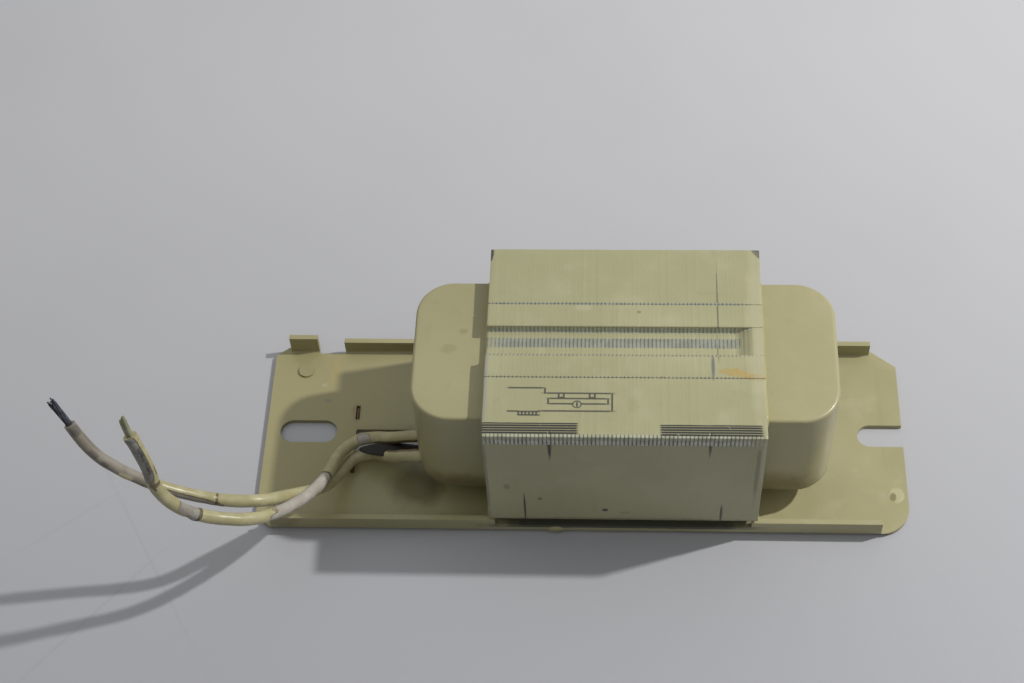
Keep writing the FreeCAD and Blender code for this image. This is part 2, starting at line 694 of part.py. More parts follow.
def build_crimp(lead, line):
    """Crimped ferrule that joins a tail of the winding to a lead."""
    body = new_body(lead + "_crimp")
    section = new_sketch(body, lead + "_crimp_section", "YZ_Plane", f"{WRAP_LEFT} - Sizes.crimp_length")
    draw_circle(section, line, LEAD_HEIGHT, "Sizes.crimp_diameter")
    pad(body, section, lead + "_ferrule", "Sizes.crimp_length")
    mouth = new_sketch(body, lead + "_crimp_mouth", "YZ_Plane", f"{WRAP_LEFT} - {TAIL_REACH}")
    draw_circle(mouth, line, LEAD_HEIGHT, "Sizes.tail_diameter")
    pocket(body, mouth, lead + "_tail_bore", TAIL_REACH)
    return body


def lead_path(points):
    """Joins straight runs with arcs as large as the runs allow, and prints their radii."""
    edges, radii = [], []
    here = points[0]
    for before, corner, after in zip(points, points[1:], points[2:]):
        back, ahead = before - corner, after - corner
        shorter = min(back.Length, ahead.Length)
        half_turn = (math.pi - back.getAngle(ahead)) / 2
        reach = ARC_SHARE * shorter
        radii.append(reach / math.tan(half_turn))
        back.normalize()
        ahead.normalize()
        start, end = corner + back * reach, corner + ahead * reach
        to_centre = (back + ahead).normalize() * (radii[-1] / math.cos(half_turn))
        crown = corner + to_centre - (back + ahead).normalize() * radii[-1]
        edges.append(Part.LineSegment(here, start).toShape())
        edges.append(Part.Arc(start, crown, end).toShape())
        here = end
    edges.append(Part.LineSegment(here, points[-1]).toShape())
    print("arc radii:", [round(radius, 1) for radius in radii])
    return Part.Wire(edges)


def add_tube(label, points, diameter):
    """Adds a round tube along a path, and prints its volume against section times length."""
    path = lead_path(points)
    heading = points[1] - points[0]
    ring = Part.Wire([Part.Circle(points[0], heading, diameter / 2).toShape()])
    shape = path.makePipeShell([ring], True, False)
    tube = doc.addObject("Part::Feature", label + "_tube")
    tube.Label = label
    tube.Shape = shape
    expected = math.pi * diameter ** 2 / 4 * path.Length
    print(label, "length", round(path.Length, 1), "volume share", round(shape.Volume / expected, 3))
    return tube


def build_lead(lead, line, route, strand_end):
    """Adds one lead: its jacket from the crimp to the stripped end, and the bare strands beyond."""
    height = worked(LEAD_HEIGHT)
    crimp_face = worked(f"{WRAP_LEFT} - Sizes.crimp_length")
    wall_face = worked(f"{CORE_LEFT} - Sizes.cover_reach")
    across = worked(line)
    points = [FreeCAD.Vector(crimp_face, across, height),
              FreeCAD.Vector(wall_face - LEAD_STRAIGHT, across, height)]
    points += [FreeCAD.Vector(*place) for place in route]
    jacket = add_tube(lead, points, cell("jacket_diameter"))
    strands = add_tube(lead + "_strands", strand_points(points, strand_end), cell("strand_diameter"))
    return [jacket, strands]


def strand_points(points, strand_end):
    """Gives the strands a start square to the jacket's end face and a light bend to their tip."""
    heading = (points[-1] - points[-2]).normalize()
    tip = FreeCAD.Vector(*strand_end)
    return [points[-1], points[-1] + heading * ((tip - points[-1]).Length / 2), tip]


# Lengths that no sheet cell needs: tests, and the leads' own habits
TOLERANCE = 0.01
ARC_SHARE = 0.45
LEAD_STRAIGHT = 1.65
DIMPLE_SHARE = 0.9
TAIL_REACH = "Sizes.crimp_bore_depth"

# Routes of the two leads past the cover, chosen by hand, and the tips of their strands
SHORT_ROUTE = [
    (-35.8, -4.0, 6.2),
    (-39.2, -2.7, 4.6),
    (-43.2, -3.4, 4.2),
    (-45.7, -8.0, 6.2),
    (-46.2, -13.2, 9.2),
    (-47.5, -18.5, 12.5),
    (-50.1, -23.6, 15.6),
    (-53.6, -28.2, 19.0),
    (-57.5, -31.6, 22.7),
    (-63.4, -33.1, 26.1),
    (-67.6, -34.1, 30.8),
    (-70.4, -34.1, 37.2),
    (-70.4, -33.4, 43.6),
    (-72.4, -31.6, 49.6),
]
SHORT_TIP = (-73.3, -30.2, 53.4)
LONG_ROUTE = [
    (-35.8, -7.6, 5.4),
    (-39.0, -5.5, 3.4),
    (-43.0, -5.9, 2.6),
    (-45.0, -10.0, 3.9),
    (-46.6, -15.0, 7.1),
    (-49.6, -18.8, 11.0),
    (-52.5, -22.4, 15.6),
    (-55.5, -26.2, 20.2),
    (-61.7, -27.2, 21.7),
    (-67.7, -27.4, 23.9),
    (-73.3, -27.6, 27.6),
    (-77.8, -27.5, 31.6),
    (-82.8, -26.6, 36.5),
    (-85.5, -24.3, 41.6),
]
LONG_TIP = (-88.2, -22.4, 46.2)

parts = [
    build_base_plate(),
    build_core_shell(),
    build_core_limb(),
    build_air_gap_strip(),
    build_coil_former(),
    build_winding(),
    build_winding_wrap(),
    build_end_cover("left_end_cover", "-", True),
    build_end_cover("right_end_cover", "+", False),
]
parts += [build_crimp(lead, line) for lead, line in lead_lines()]
parts += build_lead("short_lead", SHORT_LEAD_LINE, SHORT_ROUTE, SHORT_TIP)
parts += build_lead("long_lead", LONG_LEAD_LINE, LONG_ROUTE, LONG_TIP)
doc.recompute()

failed = [item.Label for item in doc.Objects if "Invalid" in item.State or "Error" in item.State]
if failed:
    raise RuntimeError(f"failed features: {failed}")
for part in parts:
    if part.Shape.isNull() or not part.Shape.isValid():
        raise RuntimeError(f"bad shape: {part.Label}")
    print(part.Label, "solids", len(part.Shape.Solids), "volume", round(part.Shape.Volume, 1))

os.makedirs("parts", exist_ok=True)
for part in parts:
    part.Shape.exportStep(f"parts/{part.Label}.step")
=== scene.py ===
"""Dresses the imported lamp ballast: varnished core, end covers, folded plate and two leads.

Sizes in the classes are in millimetres; meshes are written in metres at the end of each shape.
"""

import logging
import math
from dataclasses import dataclass, field, replace
from enum import Enum

import bmesh
import bpy
import numpy as np
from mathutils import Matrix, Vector


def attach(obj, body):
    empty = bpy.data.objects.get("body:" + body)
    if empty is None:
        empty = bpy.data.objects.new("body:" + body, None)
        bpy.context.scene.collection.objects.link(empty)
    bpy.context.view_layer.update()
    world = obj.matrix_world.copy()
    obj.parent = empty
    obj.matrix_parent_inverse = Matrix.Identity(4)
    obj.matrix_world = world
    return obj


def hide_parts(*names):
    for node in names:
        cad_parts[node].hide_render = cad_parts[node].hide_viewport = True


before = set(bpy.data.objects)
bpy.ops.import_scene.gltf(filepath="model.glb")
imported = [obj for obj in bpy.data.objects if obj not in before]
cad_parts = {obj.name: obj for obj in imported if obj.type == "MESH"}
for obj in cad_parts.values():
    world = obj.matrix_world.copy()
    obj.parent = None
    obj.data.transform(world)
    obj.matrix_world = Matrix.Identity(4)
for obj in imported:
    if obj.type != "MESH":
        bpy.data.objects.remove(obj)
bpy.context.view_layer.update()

LOG = logging.getLogger("lamp_ballast")
MM = 0.001
BODY = "root"
MERGE = 2e-6
SLIVER = 1e-6
FACE_CORNERS = 4
WAVES = 6
WAVE_GAIN = 1.6
STRAND_CREASE = 50.0
ROUND_SHARE = 0.45
ROUND_POINTS = 5
CURVE_STEPS = 48
COAT_ROUGHNESS = 0.15
Point = tuple[float, float, float]
Tone = tuple[int, int, int]
Corner = tuple[float, float]


def linear(tone: Tone) -> tuple[float, float, float, float]:
    """Turns a tone of 0 to 255 into the linear colour that a socket takes.

    Args:
        tone: Red, green and blue as they appear on a screen.

    Returns:
        The same colour in linear light, with an alpha of 1.
    """
    share = np.array(tone) / 255.0
    light = np.where(share <= 0.04045, share / 12.92, ((share + 0.055) / 1.055) ** 2.4)
    return (float(light[0]), float(light[1]), float(light[2]), 1.0)


# Shader maths

class Signal:
    """A socket that carries a number or a colour; arithmetic on it adds Math nodes."""

    def __init__(self, nodes: "Nodes", socket: bpy.types.NodeSocket) -> None:
        """Keeps the node tree that the socket belongs to."""
        self.nodes = nodes
        self.socket = socket

    def _math(self, operation: str, first: object, second: object) -> "Signal":
        """Adds one Math node and returns its result."""
        node = self.nodes.add("ShaderNodeMath", {"operation": operation}, {0: first, 1: second})
        return Signal(self.nodes, node.outputs[0])

    def __add__(self, other: object) -> "Signal":
        """Sum."""
        return self._math("ADD", self, other)

    def __sub__(self, other: object) -> "Signal":
        """Difference."""
        return self._math("SUBTRACT", self, other)

    def __rsub__(self, other: object) -> "Signal":
        """Difference with the number first."""
        return self._math("SUBTRACT", other, self)

    def __mul__(self, other: object) -> "Signal":
        """Product."""
        return self._math("MULTIPLY", self, other)

    def largest(self, other: object) -> "Signal":
        """The larger of two values at each point."""
        return self._math("MAXIMUM", self, other)

    def sine(self) -> "Signal":
        """Sine of the value in radians."""
        return self._math("SINE", self, 0.0)

    def ramp(self, low: float, high: float) -> "Signal":
        """Smooth step from 0 at low to 1 at high; low may be the larger."""
        settings = {"interpolation_type": "SMOOTHSTEP"}
        node = self.nodes.add("ShaderNodeMapRange", settings, {0: self, 1: low, 2: high})
        return Signal(self.nodes, node.outputs[0])


class Outline(Enum):
    """Shape of a local mark."""

    ROUND = "round"
    SQUARE = "square"


@dataclass(frozen=True)
class Mark:
    """A local change of the finish round one point, in millimetres.

    reach holds the half sizes along x, y and z; turn is about z; ragged moves the border by
    noise; relief raises the surface and a negative one sinks it.
    """

    at: Point
    reach: Point
    tone: Tone
    strength: float = 1.0
    ragged: float = 0.35
    soft: float = 0.35
    grain: float = 2.0
    turn: float = 0.0
    relief: float = 0.0
    outline: Outline = Outline.ROUND


def block(*values: object, **named: object) -> Mark:
    """A mark with straight sides and square corners."""
    return Mark(*values, outline=Outline.SQUARE, **named)


class Nodes:
    """A node tree that Signals fill."""

    def __init__(self, tree: bpy.types.NodeTree) -> None:
        """Empties the tree."""
        self.tree = tree
        self.tree.nodes.clear()

    def add(self, kind: str, settings: dict | None = None, values: dict | None = None) -> bpy.types.Node:
        """Makes one node.

        Args:
            kind: Blender's name of the node type.
            settings: Properties of the node, set before its sockets.
            values: A number, colour or Signal for each input, by name or place.

        Returns:
            The new node.
        """
        node = self.tree.nodes.new(kind)
        for name, value in (settings or {}).items():
            setattr(node, name, value)
        for key, value in (values or {}).items():
            if isinstance(value, Signal):
                self.tree.links.new(value.socket, node.inputs[key])
            else:
                node.inputs[key].default_value = value
        return node

    def mix(self, share: object, first: object, second: object) -> Signal:
        """Blends two colours; 0 gives the first."""
        node = self.add("ShaderNodeMix", {"data_type": "RGBA"}, {0: share, 6: first, 7: second})
        return Signal(self, node.outputs[2])

    def blend(self, share: object, first: object, second: object) -> Signal:
        """Blends two numbers; 0 gives the first."""
        node = self.add("ShaderNodeMix", {"data_type": "FLOAT"}, {0: share, 2: first, 3: second})
        return Signal(self, node.outputs[0])


class Shading(Nodes):
    """The node tree of one material, read in millimetres of object space."""

    def __init__(self, name: str) -> None:
        """Starts an empty material."""
        self.material = bpy.data.materials.new(name)
        self.material.use_nodes = True
        super().__init__(self.material.node_tree)
        coordinates = self.add("ShaderNodeTexCoord")
        settings = {"operation": "SCALE"}
        scaled = self.add("ShaderNodeVectorMath", settings,
                          {0: Signal(self, coordinates.outputs["Object"]), "Scale": 1.0 / MM})
        self.place = Signal(self, scaled.outputs[0])
        parts = self.add("ShaderNodeSeparateXYZ", None, {0: self.place})
        self.x, self.y, self.z = (Signal(self, socket) for socket in parts.outputs)

    def noise(self, pitch: float, detail: float = 2.0, stretch: Point = (1.0, 1.0, 1.0)) -> Signal:
        """Fractal noise about 0.5 whose lumps are pitch millimetres apart, stretched along axes."""
        scale = tuple(1.0 / (pitch * share) for share in stretch)
        mapped = self.add("ShaderNodeMapping", None, {"Vector": self.place, "Scale": scale})
        node = self.add("ShaderNodeTexNoise", None,
                        {"Vector": Signal(self, mapped.outputs[0]), "Scale": 1.0, "Detail": detail})
        return Signal(self, node.outputs[0])

    def dots(self, pitch: float, size: float) -> Signal:
        """Scattered round specks of a given radius, on cells of pitch millimetres."""
        node = self.add("ShaderNodeTexVoronoi", {"feature": "F1"},
                        {"Vector": self.place, "Scale": 1.0 / pitch})
        return Signal(self, node.outputs["Distance"]).ramp(size / pitch, 0.4 * size / pitch)

    def field(self, name: str) -> Signal:
        """A number that the mesh carries at each of its points."""
        node = self.add("ShaderNodeAttribute", {"attribute_name": name})
        return Signal(self, node.outputs["Fac"])

    def mask(self, mark: Mark) -> Signal:
        """Share of a mark at each point: 1 inside, 0 outside, with a ragged border.

        The distance is the length of the offset divided by the reach, or its largest part for a
        square mark, and noise is added before a smooth step across 1.
        """
        mapped = self.add("ShaderNodeMapping", {"vector_type": "TEXTURE"}, {
            "Vector": self.place, "Location": mark.at,
            "Rotation": (0.0, 0.0, math.radians(mark.turn)), "Scale": mark.reach})
        offset = Signal(self, mapped.outputs[0])
        if mark.outline is Outline.ROUND:
            node = self.add("ShaderNodeVectorMath", {"operation": "LENGTH"}, {0: offset})
            distance = Signal(self, node.outputs["Value"])
        else:
            node = self.add("ShaderNodeVectorMath", {"operation": "ABSOLUTE"}, {0: offset})
            parts = self.add("ShaderNodeSeparateXYZ", None, {0: Signal(self, node.outputs[0])})
            along, across, up = (Signal(self, socket) for socket in parts.outputs)
            distance = along.largest(across).largest(up)
        if mark.ragged > 0.0:
            distance = distance + (self.noise(mark.grain, 3.0) - 0.5) * (2.0 * mark.ragged)
        return distance.ramp(1.0 + mark.soft / 2, 1.0 - mark.soft / 2) * mark.strength

    def finish(self, colour: object, roughness: object, metallic: object = 0.0,
               height: object = None, depth: float = 0.05, coat: float = 0.0) -> bpy.types.Material:
        """Closes the material with its surface shader.

        Args:
            colour: Base colour.
            roughness: Roughness.
            metallic: Share of bare metal.
            height: Relief between 0 and 1, or none.
            depth: Millimetres between a height of 0 and 1.
            coat: Share of a clear coat.

        Returns:
            The finished material.
        """
        values = {"Base Color": colour, "Roughness": roughness, "Metallic": metallic,
                  "Coat Weight": coat, "Coat Roughness": COAT_ROUGHNESS}
        if height is not None:
            bump = self.add("ShaderNodeBump", None, {"Height": height, "Distance": depth * MM})
            values["Normal"] = Signal(self, bump.outputs[0])
        surface = self.add("ShaderNodeBsdfPrincipled", None, values)
        self.add("ShaderNodeOutputMaterial", None, {0: Signal(self, surface.outputs[0])})
        return self.material


# Finishes

@dataclass(frozen=True)
class Varnish:
    """Cream dipping varnish: satin, slightly uneven, thin and grey where it left an edge."""

    name: str
    base: Tone = (170, 164, 127)
    pale: Tone = (180, 175, 141)
    olive: Tone = (156, 151, 112)
    grime: Tone = (96, 90, 66)
    roughness: float = 0.38
    coat: float = 0.12
    marks: tuple[Mark, ...] = ()
    broad_pitch: float = 26.0
    cloud_pitch: float = 5.0
    run_pitch: float = 3.0
    peel_pitch: float = 0.9
    speck_cell: float = 5.2
    speck_size: float = 0.14
    relief: float = 0.09

    def layers(self, shading: Shading) -> tuple[Signal, Signal, Signal]:
        """Works out the varnish and its marks.

        Returns:
            Colour, roughness and height.
        """
        broad = shading.noise(self.broad_pitch)
        cloudy = shading.noise(self.cloud_pitch, 3.0)
        runs = shading.noise(self.run_pitch, stretch=(1.0, 1.0, 6.0))
        peel = shading.noise(self.peel_pitch)
        colour = shading.mix(broad.ramp(0.35, 0.68), linear(self.olive), linear(self.base))
        colour = shading.mix(cloudy.ramp(0.5, 0.78) * 0.3, colour, linear(self.pale))
        colour = shading.mix(runs.ramp(0.62, 0.8) * 0.1, colour, linear(self.grime))
        dotted = shading.noise(9.0, 1.0).ramp(0.54, 0.62)
        specks = shading.dots(self.speck_cell, self.speck_size) * dotted
        colour = shading.mix(specks * 0.55, colour, linear(self.grime))
        roughness = (cloudy - 0.5) * 0.24 + self.roughness
        height = cloudy * 0.5 + runs * 0.25 + peel * 0.1 + specks * 0.4
        for mark in self.marks:
            share = shading.mask(mark)
            colour = shading.mix(share, colour, linear(mark.tone))
            if mark.relief:
                height = height + share * mark.relief
        return colour, roughness, height

    def material(self) -> bpy.types.Material:
        """Builds the finish on its own."""
        shading = Shading(self.name)
        colour, roughness, height = self.layers(shading)
        return shading.finish(colour, roughness, 0.0, height, self.relief, self.coat)


@dataclass(frozen=True)
class TickStrip:
    """A strip where the varnish is thin and each lamination shows as a pale land and a dark seam."""

    at: Point
    reach: Point
    wear: float = 1.0
    land: Tone = (176, 180, 178)
    dull: Tone = (122, 127, 132)
    gap: Tone = (50, 52, 58)


@dataclass(frozen=True)
class StackedSteel:
    """Varnish over a lamination stack: seams, worn strips of steel edges and printed rules."""

    varnish: Varnish
    first_seam: float
    pitch: float
    strips: tuple[TickStrip, ...]
    rules: tuple[Mark, ...]
    rule_pitch: float = 0.5
    gap: Tone = (70, 68, 54)

    def material(self) -> bpy.types.Material:
        """Builds the finish."""
        shading = Shading(self.varnish.name)
        colour, roughness, height = self.varnish.layers(shading)
        seam = shading.field("seam")
        turns = (shading.x - self.first_seam) * (2.0 * math.pi / self.pitch)
        wave = (turns + math.pi / 2).sine()
        uneven = shading.noise(1.7, 3.0)
        line = wave.ramp(0.80, 1.0)
        colour = shading.mix(line * uneven.ramp(0.42, 0.7) * 0.12, colour, linear(self.varnish.grime))
        colour = shading.mix(seam.ramp(0.05, 0.9) * 0.6, colour, linear(self.gap))
        for strip in self.strips:
            area = block(strip.at, strip.reach, strip.dull, ragged=0.14, soft=0.3, grain=1.1)
            share = shading.mask(area) * strip.wear
            steel = shading.mix(uneven.ramp(0.36, 0.6), linear(strip.dull), linear(strip.land))
            dark = wave.ramp(0.0, 0.85) * (uneven.ramp(0.7, 0.42) * 0.5 + 0.5)
            worn = shading.mix(dark, steel, linear(strip.gap))
            colour = shading.mix(share, colour, worn)
            roughness = roughness - share * 0.06
            height = height - share * wave.ramp(0.2, 0.9) * 0.9
        for rule in self.rules:
            across = (shading.y - rule.at[1]) * (2.0 * math.pi / self.rule_pitch)
            ink = across.sine().ramp(-1.0, -0.55) * shading.mask(rule)
            broken = shading.noise(0.8, 3.0).ramp(0.2, 0.34)
            colour = shading.mix(ink * broken, colour, linear(rule.tone))
        return shading.finish(colour, roughness, 0.0, height, self.varnish.relief, self.varnish.coat)


@dataclass(frozen=True)
class LeadFinish:
    """White insulation under a skin of cream varnish that has split and peeled in places.

    The mesh carries peel, above 0 where the skin is gone and at one bare patch that is a painted highlight,
    and grey, the dirt on the insulation.
    """

    name: str
    skin: Tone = (163, 156, 118)
    skin_pale: Tone = (176, 170, 134)
    jacket: Tone = (160, 153, 143)
    jacket_pale: Tone = (174, 170, 162)
    dark: Tone = (60, 60, 60)
    edge: Tone = (84, 66, 40)

    def material(self) -> bpy.types.Material:
        """Builds the finish."""
        shading = Shading(self.name)
        ragged = shading.noise(0.7, 4.0) - 0.5
        peel = shading.field("peel") + ragged * 0.34
        bare = peel.ramp(-0.03, 0.05)
        border = peel.ramp(-0.09, -0.01) * (1.0 - peel.ramp(0.01, 0.08))
        cloudy = shading.noise(2.4, 3.0)
        skin = shading.mix(cloudy.ramp(0.4, 0.7), linear(self.skin), linear(self.skin_pale))
        specks = shading.dots(2.2, 0.12)
        skin = shading.mix(specks * 0.6, skin, linear(self.edge))
        jacket = shading.mix(cloudy.ramp(0.35, 0.65), linear(self.jacket), linear(self.jacket_pale))
        grey = shading.field("grey") * (ragged * 1.4 + 0.9)
        jacket = shading.mix(grey, jacket, linear(self.dark))
        colour = shading.mix(bare, skin, jacket)
        stain = (shading.field("stain") + ragged * 0.5).ramp(0.3, 0.62)
        colour = shading.mix(stain * 0.8, colour, linear(self.edge))
        colour = shading.mix(border * 0.55, colour, linear(self.edge))
        roughness = shading.blend(bare, 0.36, 0.64) + (cloudy - 0.5) * 0.2
        height = (1.0 - bare) * 0.8 + cloudy * 0.5 + shading.noise(0.5, 2.0) * 0.15
        return shading.finish(colour, roughness, 0.0, height, 0.1, 0.08)


@dataclass(frozen=True)
class Wire:
    """Metal wire: blotched by oxide, with fine lines left by drawing."""

    name: str
    metal: Tone
    dull: Tone
    metallic: float = 0.9
    roughness: float = 0.35
    pitch: float = 0.8

    def material(self) -> bpy.types.Material:
        """Builds the finish."""
        shading = Shading(self.name)
        blotch = shading.noise(self.pitch, 3.0).ramp(0.4, 0.62)
        lines = shading.noise(0.35, 2.0, (8.0, 1.0, 1.0))
        colour = shading.mix(blotch, linear(self.metal), linear(self.dull))
        roughness = (blotch * 0.25) + (lines * 0.15 + self.roughness)
        metallic = (1.0 - blotch) * self.metallic
        return shading.finish(colour, roughness, metallic, lines, 0.03)


@dataclass(frozen=True)
class Laid:
    """Plain insulating sheet or moulding: fibres along one axis over a cloudy ground."""

    name: str
    ground: Tone
    fibre: Tone
    stretch: Point = (7.0, 1.0, 1.0)
    pitch: float = 0.5
    roughness: float = 0.55

    def material(self) -> bpy.types.Material:
        """Builds the finish."""
        shading = Shading(self.name)
        fibres = shading.noise(self.pitch, 3.0, self.stretch)
        cloudy = shading.noise(6.0, 2.0)
        colour = shading.mix(fibres.ramp(0.42, 0.66) * 0.7, linear(self.ground), linear(self.fibre))
        colour = shading.mix(cloudy.ramp(0.45, 0.8) * 0.4, colour, linear(self.fibre))
        roughness = (cloudy - 0.5) * 0.2 + self.roughness
        return shading.finish(colour, roughness, 0.0, fibres, 0.03)


@dataclass(frozen=True)
class WoundWire:
    """Enamelled wire laid in level turns: fine ridges one wire apart up the coil."""

    name: str
    enamel: Tone = (134, 64, 26)
    bright: Tone = (178, 98, 48)
    wire: float = 0.32

    def material(self) -> bpy.types.Material:
        """Builds the finish."""
        shading = Shading(self.name)
        ridge = (shading.z * (2.0 * math.pi / self.wire)).sine() * 0.5 + 0.5
        cloudy = shading.noise(4.0, 2.0)
        colour = shading.mix(ridge * 0.6 + cloudy * 0.3, linear(self.enamel), linear(self.bright))
        roughness = cloudy * 0.2 + 0.2
        return shading.finish(colour, roughness, 0.55, ridge, 0.1, 0.4)


@dataclass(frozen=True)
class Bench:
    """Pale grey bench top, lighter toward the lamp as a painted fall-off of its light, with a faint
    unevenness.
    """

    name: str = "bench_top"
    near: Tone = (164, 165, 171)
    far: Tone = (192, 192, 197)
    scuff: Tone = (120, 120, 126)
    across: float = -0.0004
    back: float = 0.0045
    middle: float = 0.4
    roughness: float = 0.55
    scratches: tuple[Mark, ...] = (
        Mark((-88.0, -38.0, 0.0), (18.0, 0.3, 1.0), (148, 148, 154), 0.22, 0.6, 0.9, 4.0, 50.6),
        Mark((-80.0, -26.5, 0.0), (29.5, 0.25, 1.0), (150, 150, 156), 0.18, 0.6, 0.9, 5.0, -59.5),
        Mark((-97.0, -20.0, 0.0), (14.0, 0.25, 1.0), (152, 152, 158), 0.16, 0.6, 0.9, 4.0, 38.0),
    )

    def material(self) -> bpy.types.Material:
        """Builds the finish."""
        shading = Shading(self.name)
        # Painted light: the colour runs from the near tone to the lighter far tone toward the back and the
        # lamp.
        toward = shading.x * self.across + shading.y * self.back + self.middle
        colour = shading.mix(toward.ramp(0.0, 1.0), linear(self.near), linear(self.far))
        cloudy = shading.noise(60.0, 3.0)
        colour = shading.mix(cloudy.ramp(0.35, 0.75) * 0.14, colour, linear(self.near))
        specks = shading.dots(46.0, 0.5)
        colour = shading.mix(specks * 0.35, colour, linear(self.scuff))
        for scratch in self.scratches:
            colour = shading.mix(shading.mask(scratch), colour, linear(scratch.tone))
        return shading.finish(colour, self.roughness, 0.0, shading.noise(2.2, 2.0), 0.02)


# Shapes

def wavy(points: np.ndarray, pitch: float, seed: int) -> np.ndarray:
    """Smooth unevenness between about -1 and 1.

    It is the mean of a few sine waves, pitch apart, that run in seeded directions.

    Args:
        points: Any array of points in millimetres.
        pitch: Distance between crests.
        seed: Number that fixes directions and phases.

    Returns:
        One value for each point.
    """
    rng = np.random.default_rng(seed)
    ways = rng.normal(size=(WAVES, 3))
    ways *= 2.0 * np.pi / pitch / np.linalg.norm(ways, axis=1, keepdims=True)
    phases = rng.uniform(0.0, 2.0 * np.pi, WAVES)
    return WAVE_GAIN * np.sin(points @ ways.T + phases).mean(axis=-1)


def step(value: np.ndarray, low: float, high: float) -> np.ndarray:
    """Smooth step from 0 at low to 1 at high."""
    share = np.clip((value - low) / (high - low), 0.0, 1.0)
    return share * share * (3.0 - 2.0 * share)


def directions(rows: np.ndarray, closed: bool = False) -> np.ndarray:
    """Unit vectors along a line of points, from the central difference of its points."""
    if closed:
        ahead = np.roll(rows, -1, axis=0) - np.roll(rows, 1, axis=0)
    else:
        ahead = np.gradient(rows, axis=0)
    return ahead / np.linalg.norm(ahead, axis=1, keepdims=True)


def rounded(corners: list[Corner], radii: list[float], spacing: float) -> np.ndarray:
    """Closed outline with its corners rounded and its sides divided evenly.

    Each corner is a quadratic curve that leaves both sides at its radius from the corner, or at
    the round share of the shorter side; each side is divided into equal steps no longer than spacing.

    Args:
        corners: Corners in order, the last joined to the first.
        radii: For each corner, the distance from it at which the rounding starts.
        spacing: Longest step on a side.

    Returns:
        Points of the outline, one row each.
    """
    points = np.array(corners)
    sides = np.roll(points, -1, axis=0) - points
    lengths = np.linalg.norm(sides, axis=1)
    ways = sides / lengths[:, None]
    longest = ROUND_SHARE * np.minimum(lengths, np.roll(lengths, 1))
    reaches = np.minimum(radii, longest)
    shares = np.linspace(0.0, 1.0, ROUND_POINTS)[:, None]
    rows = []
    for index, corner in enumerate(points):
        start = corner - ways[index - 1] * reaches[index]
        end = corner + ways[index] * reaches[index]
        rows.append((1 - shares) ** 2 * start + 2 * shares * (1 - shares) * corner + shares ** 2 * end)
        after = (index + 1) % len(points)
        stop = points[after] - ways[index] * reaches[after]
        count = max(2, int(np.ceil(np.linalg.norm(stop - end) / spacing)))
        inner = np.linspace(0.0, 1.0, count + 1)[1:-1, None]
        rows.append(end + inner * (stop - end))
    return np.concatenate(rows)


def soften(mesh: bpy.types.Mesh, crease: float) -> None:
    """Shades a mesh smoothly, with edges above the crease angle sharp and its end faces flat."""
    mesh.shade_smooth()
    mesh.set_sharp_from_angle(angle=math.radians(crease))
    for polygon in mesh.polygons:
        if len(polygon.vertices) > FACE_CORNERS:
            polygon.use_smooth = False


def placed(name: str, data: bpy.types.ID) -> bpy.types.Object:
    """Makes an object from its data and puts it in the scene."""
    thing = bpy.data.objects.new(name, data)
    bpy.context.scene.collection.objects.link(thing)
    return thing


def spans(line: np.ndarray) -> np.ndarray:
    """Length along a line from its start to each of its points."""
    return np.concatenate([[0.0], np.cumsum(np.linalg.norm(np.diff(line, axis=0), axis=1))])


def crossways(line: np.ndarray, lean: Point) -> tuple[np.ndarray, np.ndarray]:
    """Two unit vectors square to a line at each of its points.

    The first is lean without its part along the line; the second is square to both.
    """
    ahead = directions(line)
    face = np.array(lean) - ahead * (ahead @ np.array(lean))[:, None]
    face /= np.linalg.norm(face, axis=1, keepdims=True)
    return face, np.cross(ahead, face)


def skin(name: str, grid: np.ndarray, ring: bool = False, loop: bool = False, caps: bool = False,
         fields: dict[str, np.ndarray] | None = None, crease: float = 35.0) -> bpy.types.Object:
    """Makes a piece from a grid of points.

    Faces are the quads between neighbouring rows and columns. Points that coincide, as at a
    pole, are merged, and the faces are turned outwards.

    Args:
        name: Name of the piece.
        grid: Points in millimetres, rows by columns by 3.
        ring: Joins each row's last point to its first.
        loop: Joins the last row to the first.
        caps: Closes the first and last row with one face each.
        fields: Numbers for each point that materials read.
        crease: Angle in degrees above which an edge stays sharp.

    Returns:
        The new object.
    """
    rows, columns = grid.shape[:2]
    down = np.arange(rows if loop else rows - 1)
    across = np.arange(columns if ring else columns - 1)
    row, column = np.meshgrid(down, across, indexing="ij")
    next_row = (row + 1) % rows
    next_column = (column + 1) % columns
    quads = np.stack([row * columns + column, next_row * columns + column,
                      next_row * columns + next_column, row * columns + next_column], axis=-1)
    faces = quads.reshape(-1, 4).tolist()
    if caps:
        faces.append(list(range(columns)))
        faces.append(list(range((rows - 1) * columns, rows * columns)))
    mesh = bpy.data.meshes.new(name)
    mesh.from_pydata((grid.reshape(-1, 3) * MM).tolist(), [], faces)
    for key, values in (fields or {}).items():
        layer = mesh.attributes.new(key, "FLOAT", "POINT")
        layer.data.foreach_set("value", np.ascontiguousarray(values, dtype=np.float32).ravel())
    work = bmesh.new()
    work.from_mesh(mesh)
    bmesh.ops.remove_doubles(work, verts=work.verts, dist=MERGE)
    bmesh.ops.dissolve_degenerate(work, edges=work.edges, dist=SLIVER)
    bmesh.ops.recalc_face_normals(work, faces=work.faces)
    work.to_mesh(mesh)
    work.free()
    soften(mesh, crease)
    return placed(name, mesh)


def tube(name: str, line: np.ndarray, radius: np.ndarray, sides: int,
         lean: Point = (0.2, -0.5, 0.84)) -> bpy.types.Object:
    """Round tube along a line, closed at both ends.

    A ring point is the line's point plus radius times (cos a times n plus sin a times s), where
    n and s are the line's two crossways.
    """
    face, side = crossways(line, lean)
    angles = np.linspace(0.0, 2.0 * np.pi, sides, endpoint=False)
    ring = np.cos(angles)[None, :, None] * face[:, None, :]
    ring = ring + np.sin(angles)[None, :, None] * side[:, None, :]
    return skin(name, line[:, None, :] + ring * radius[:, None, None], ring=True, caps=True)


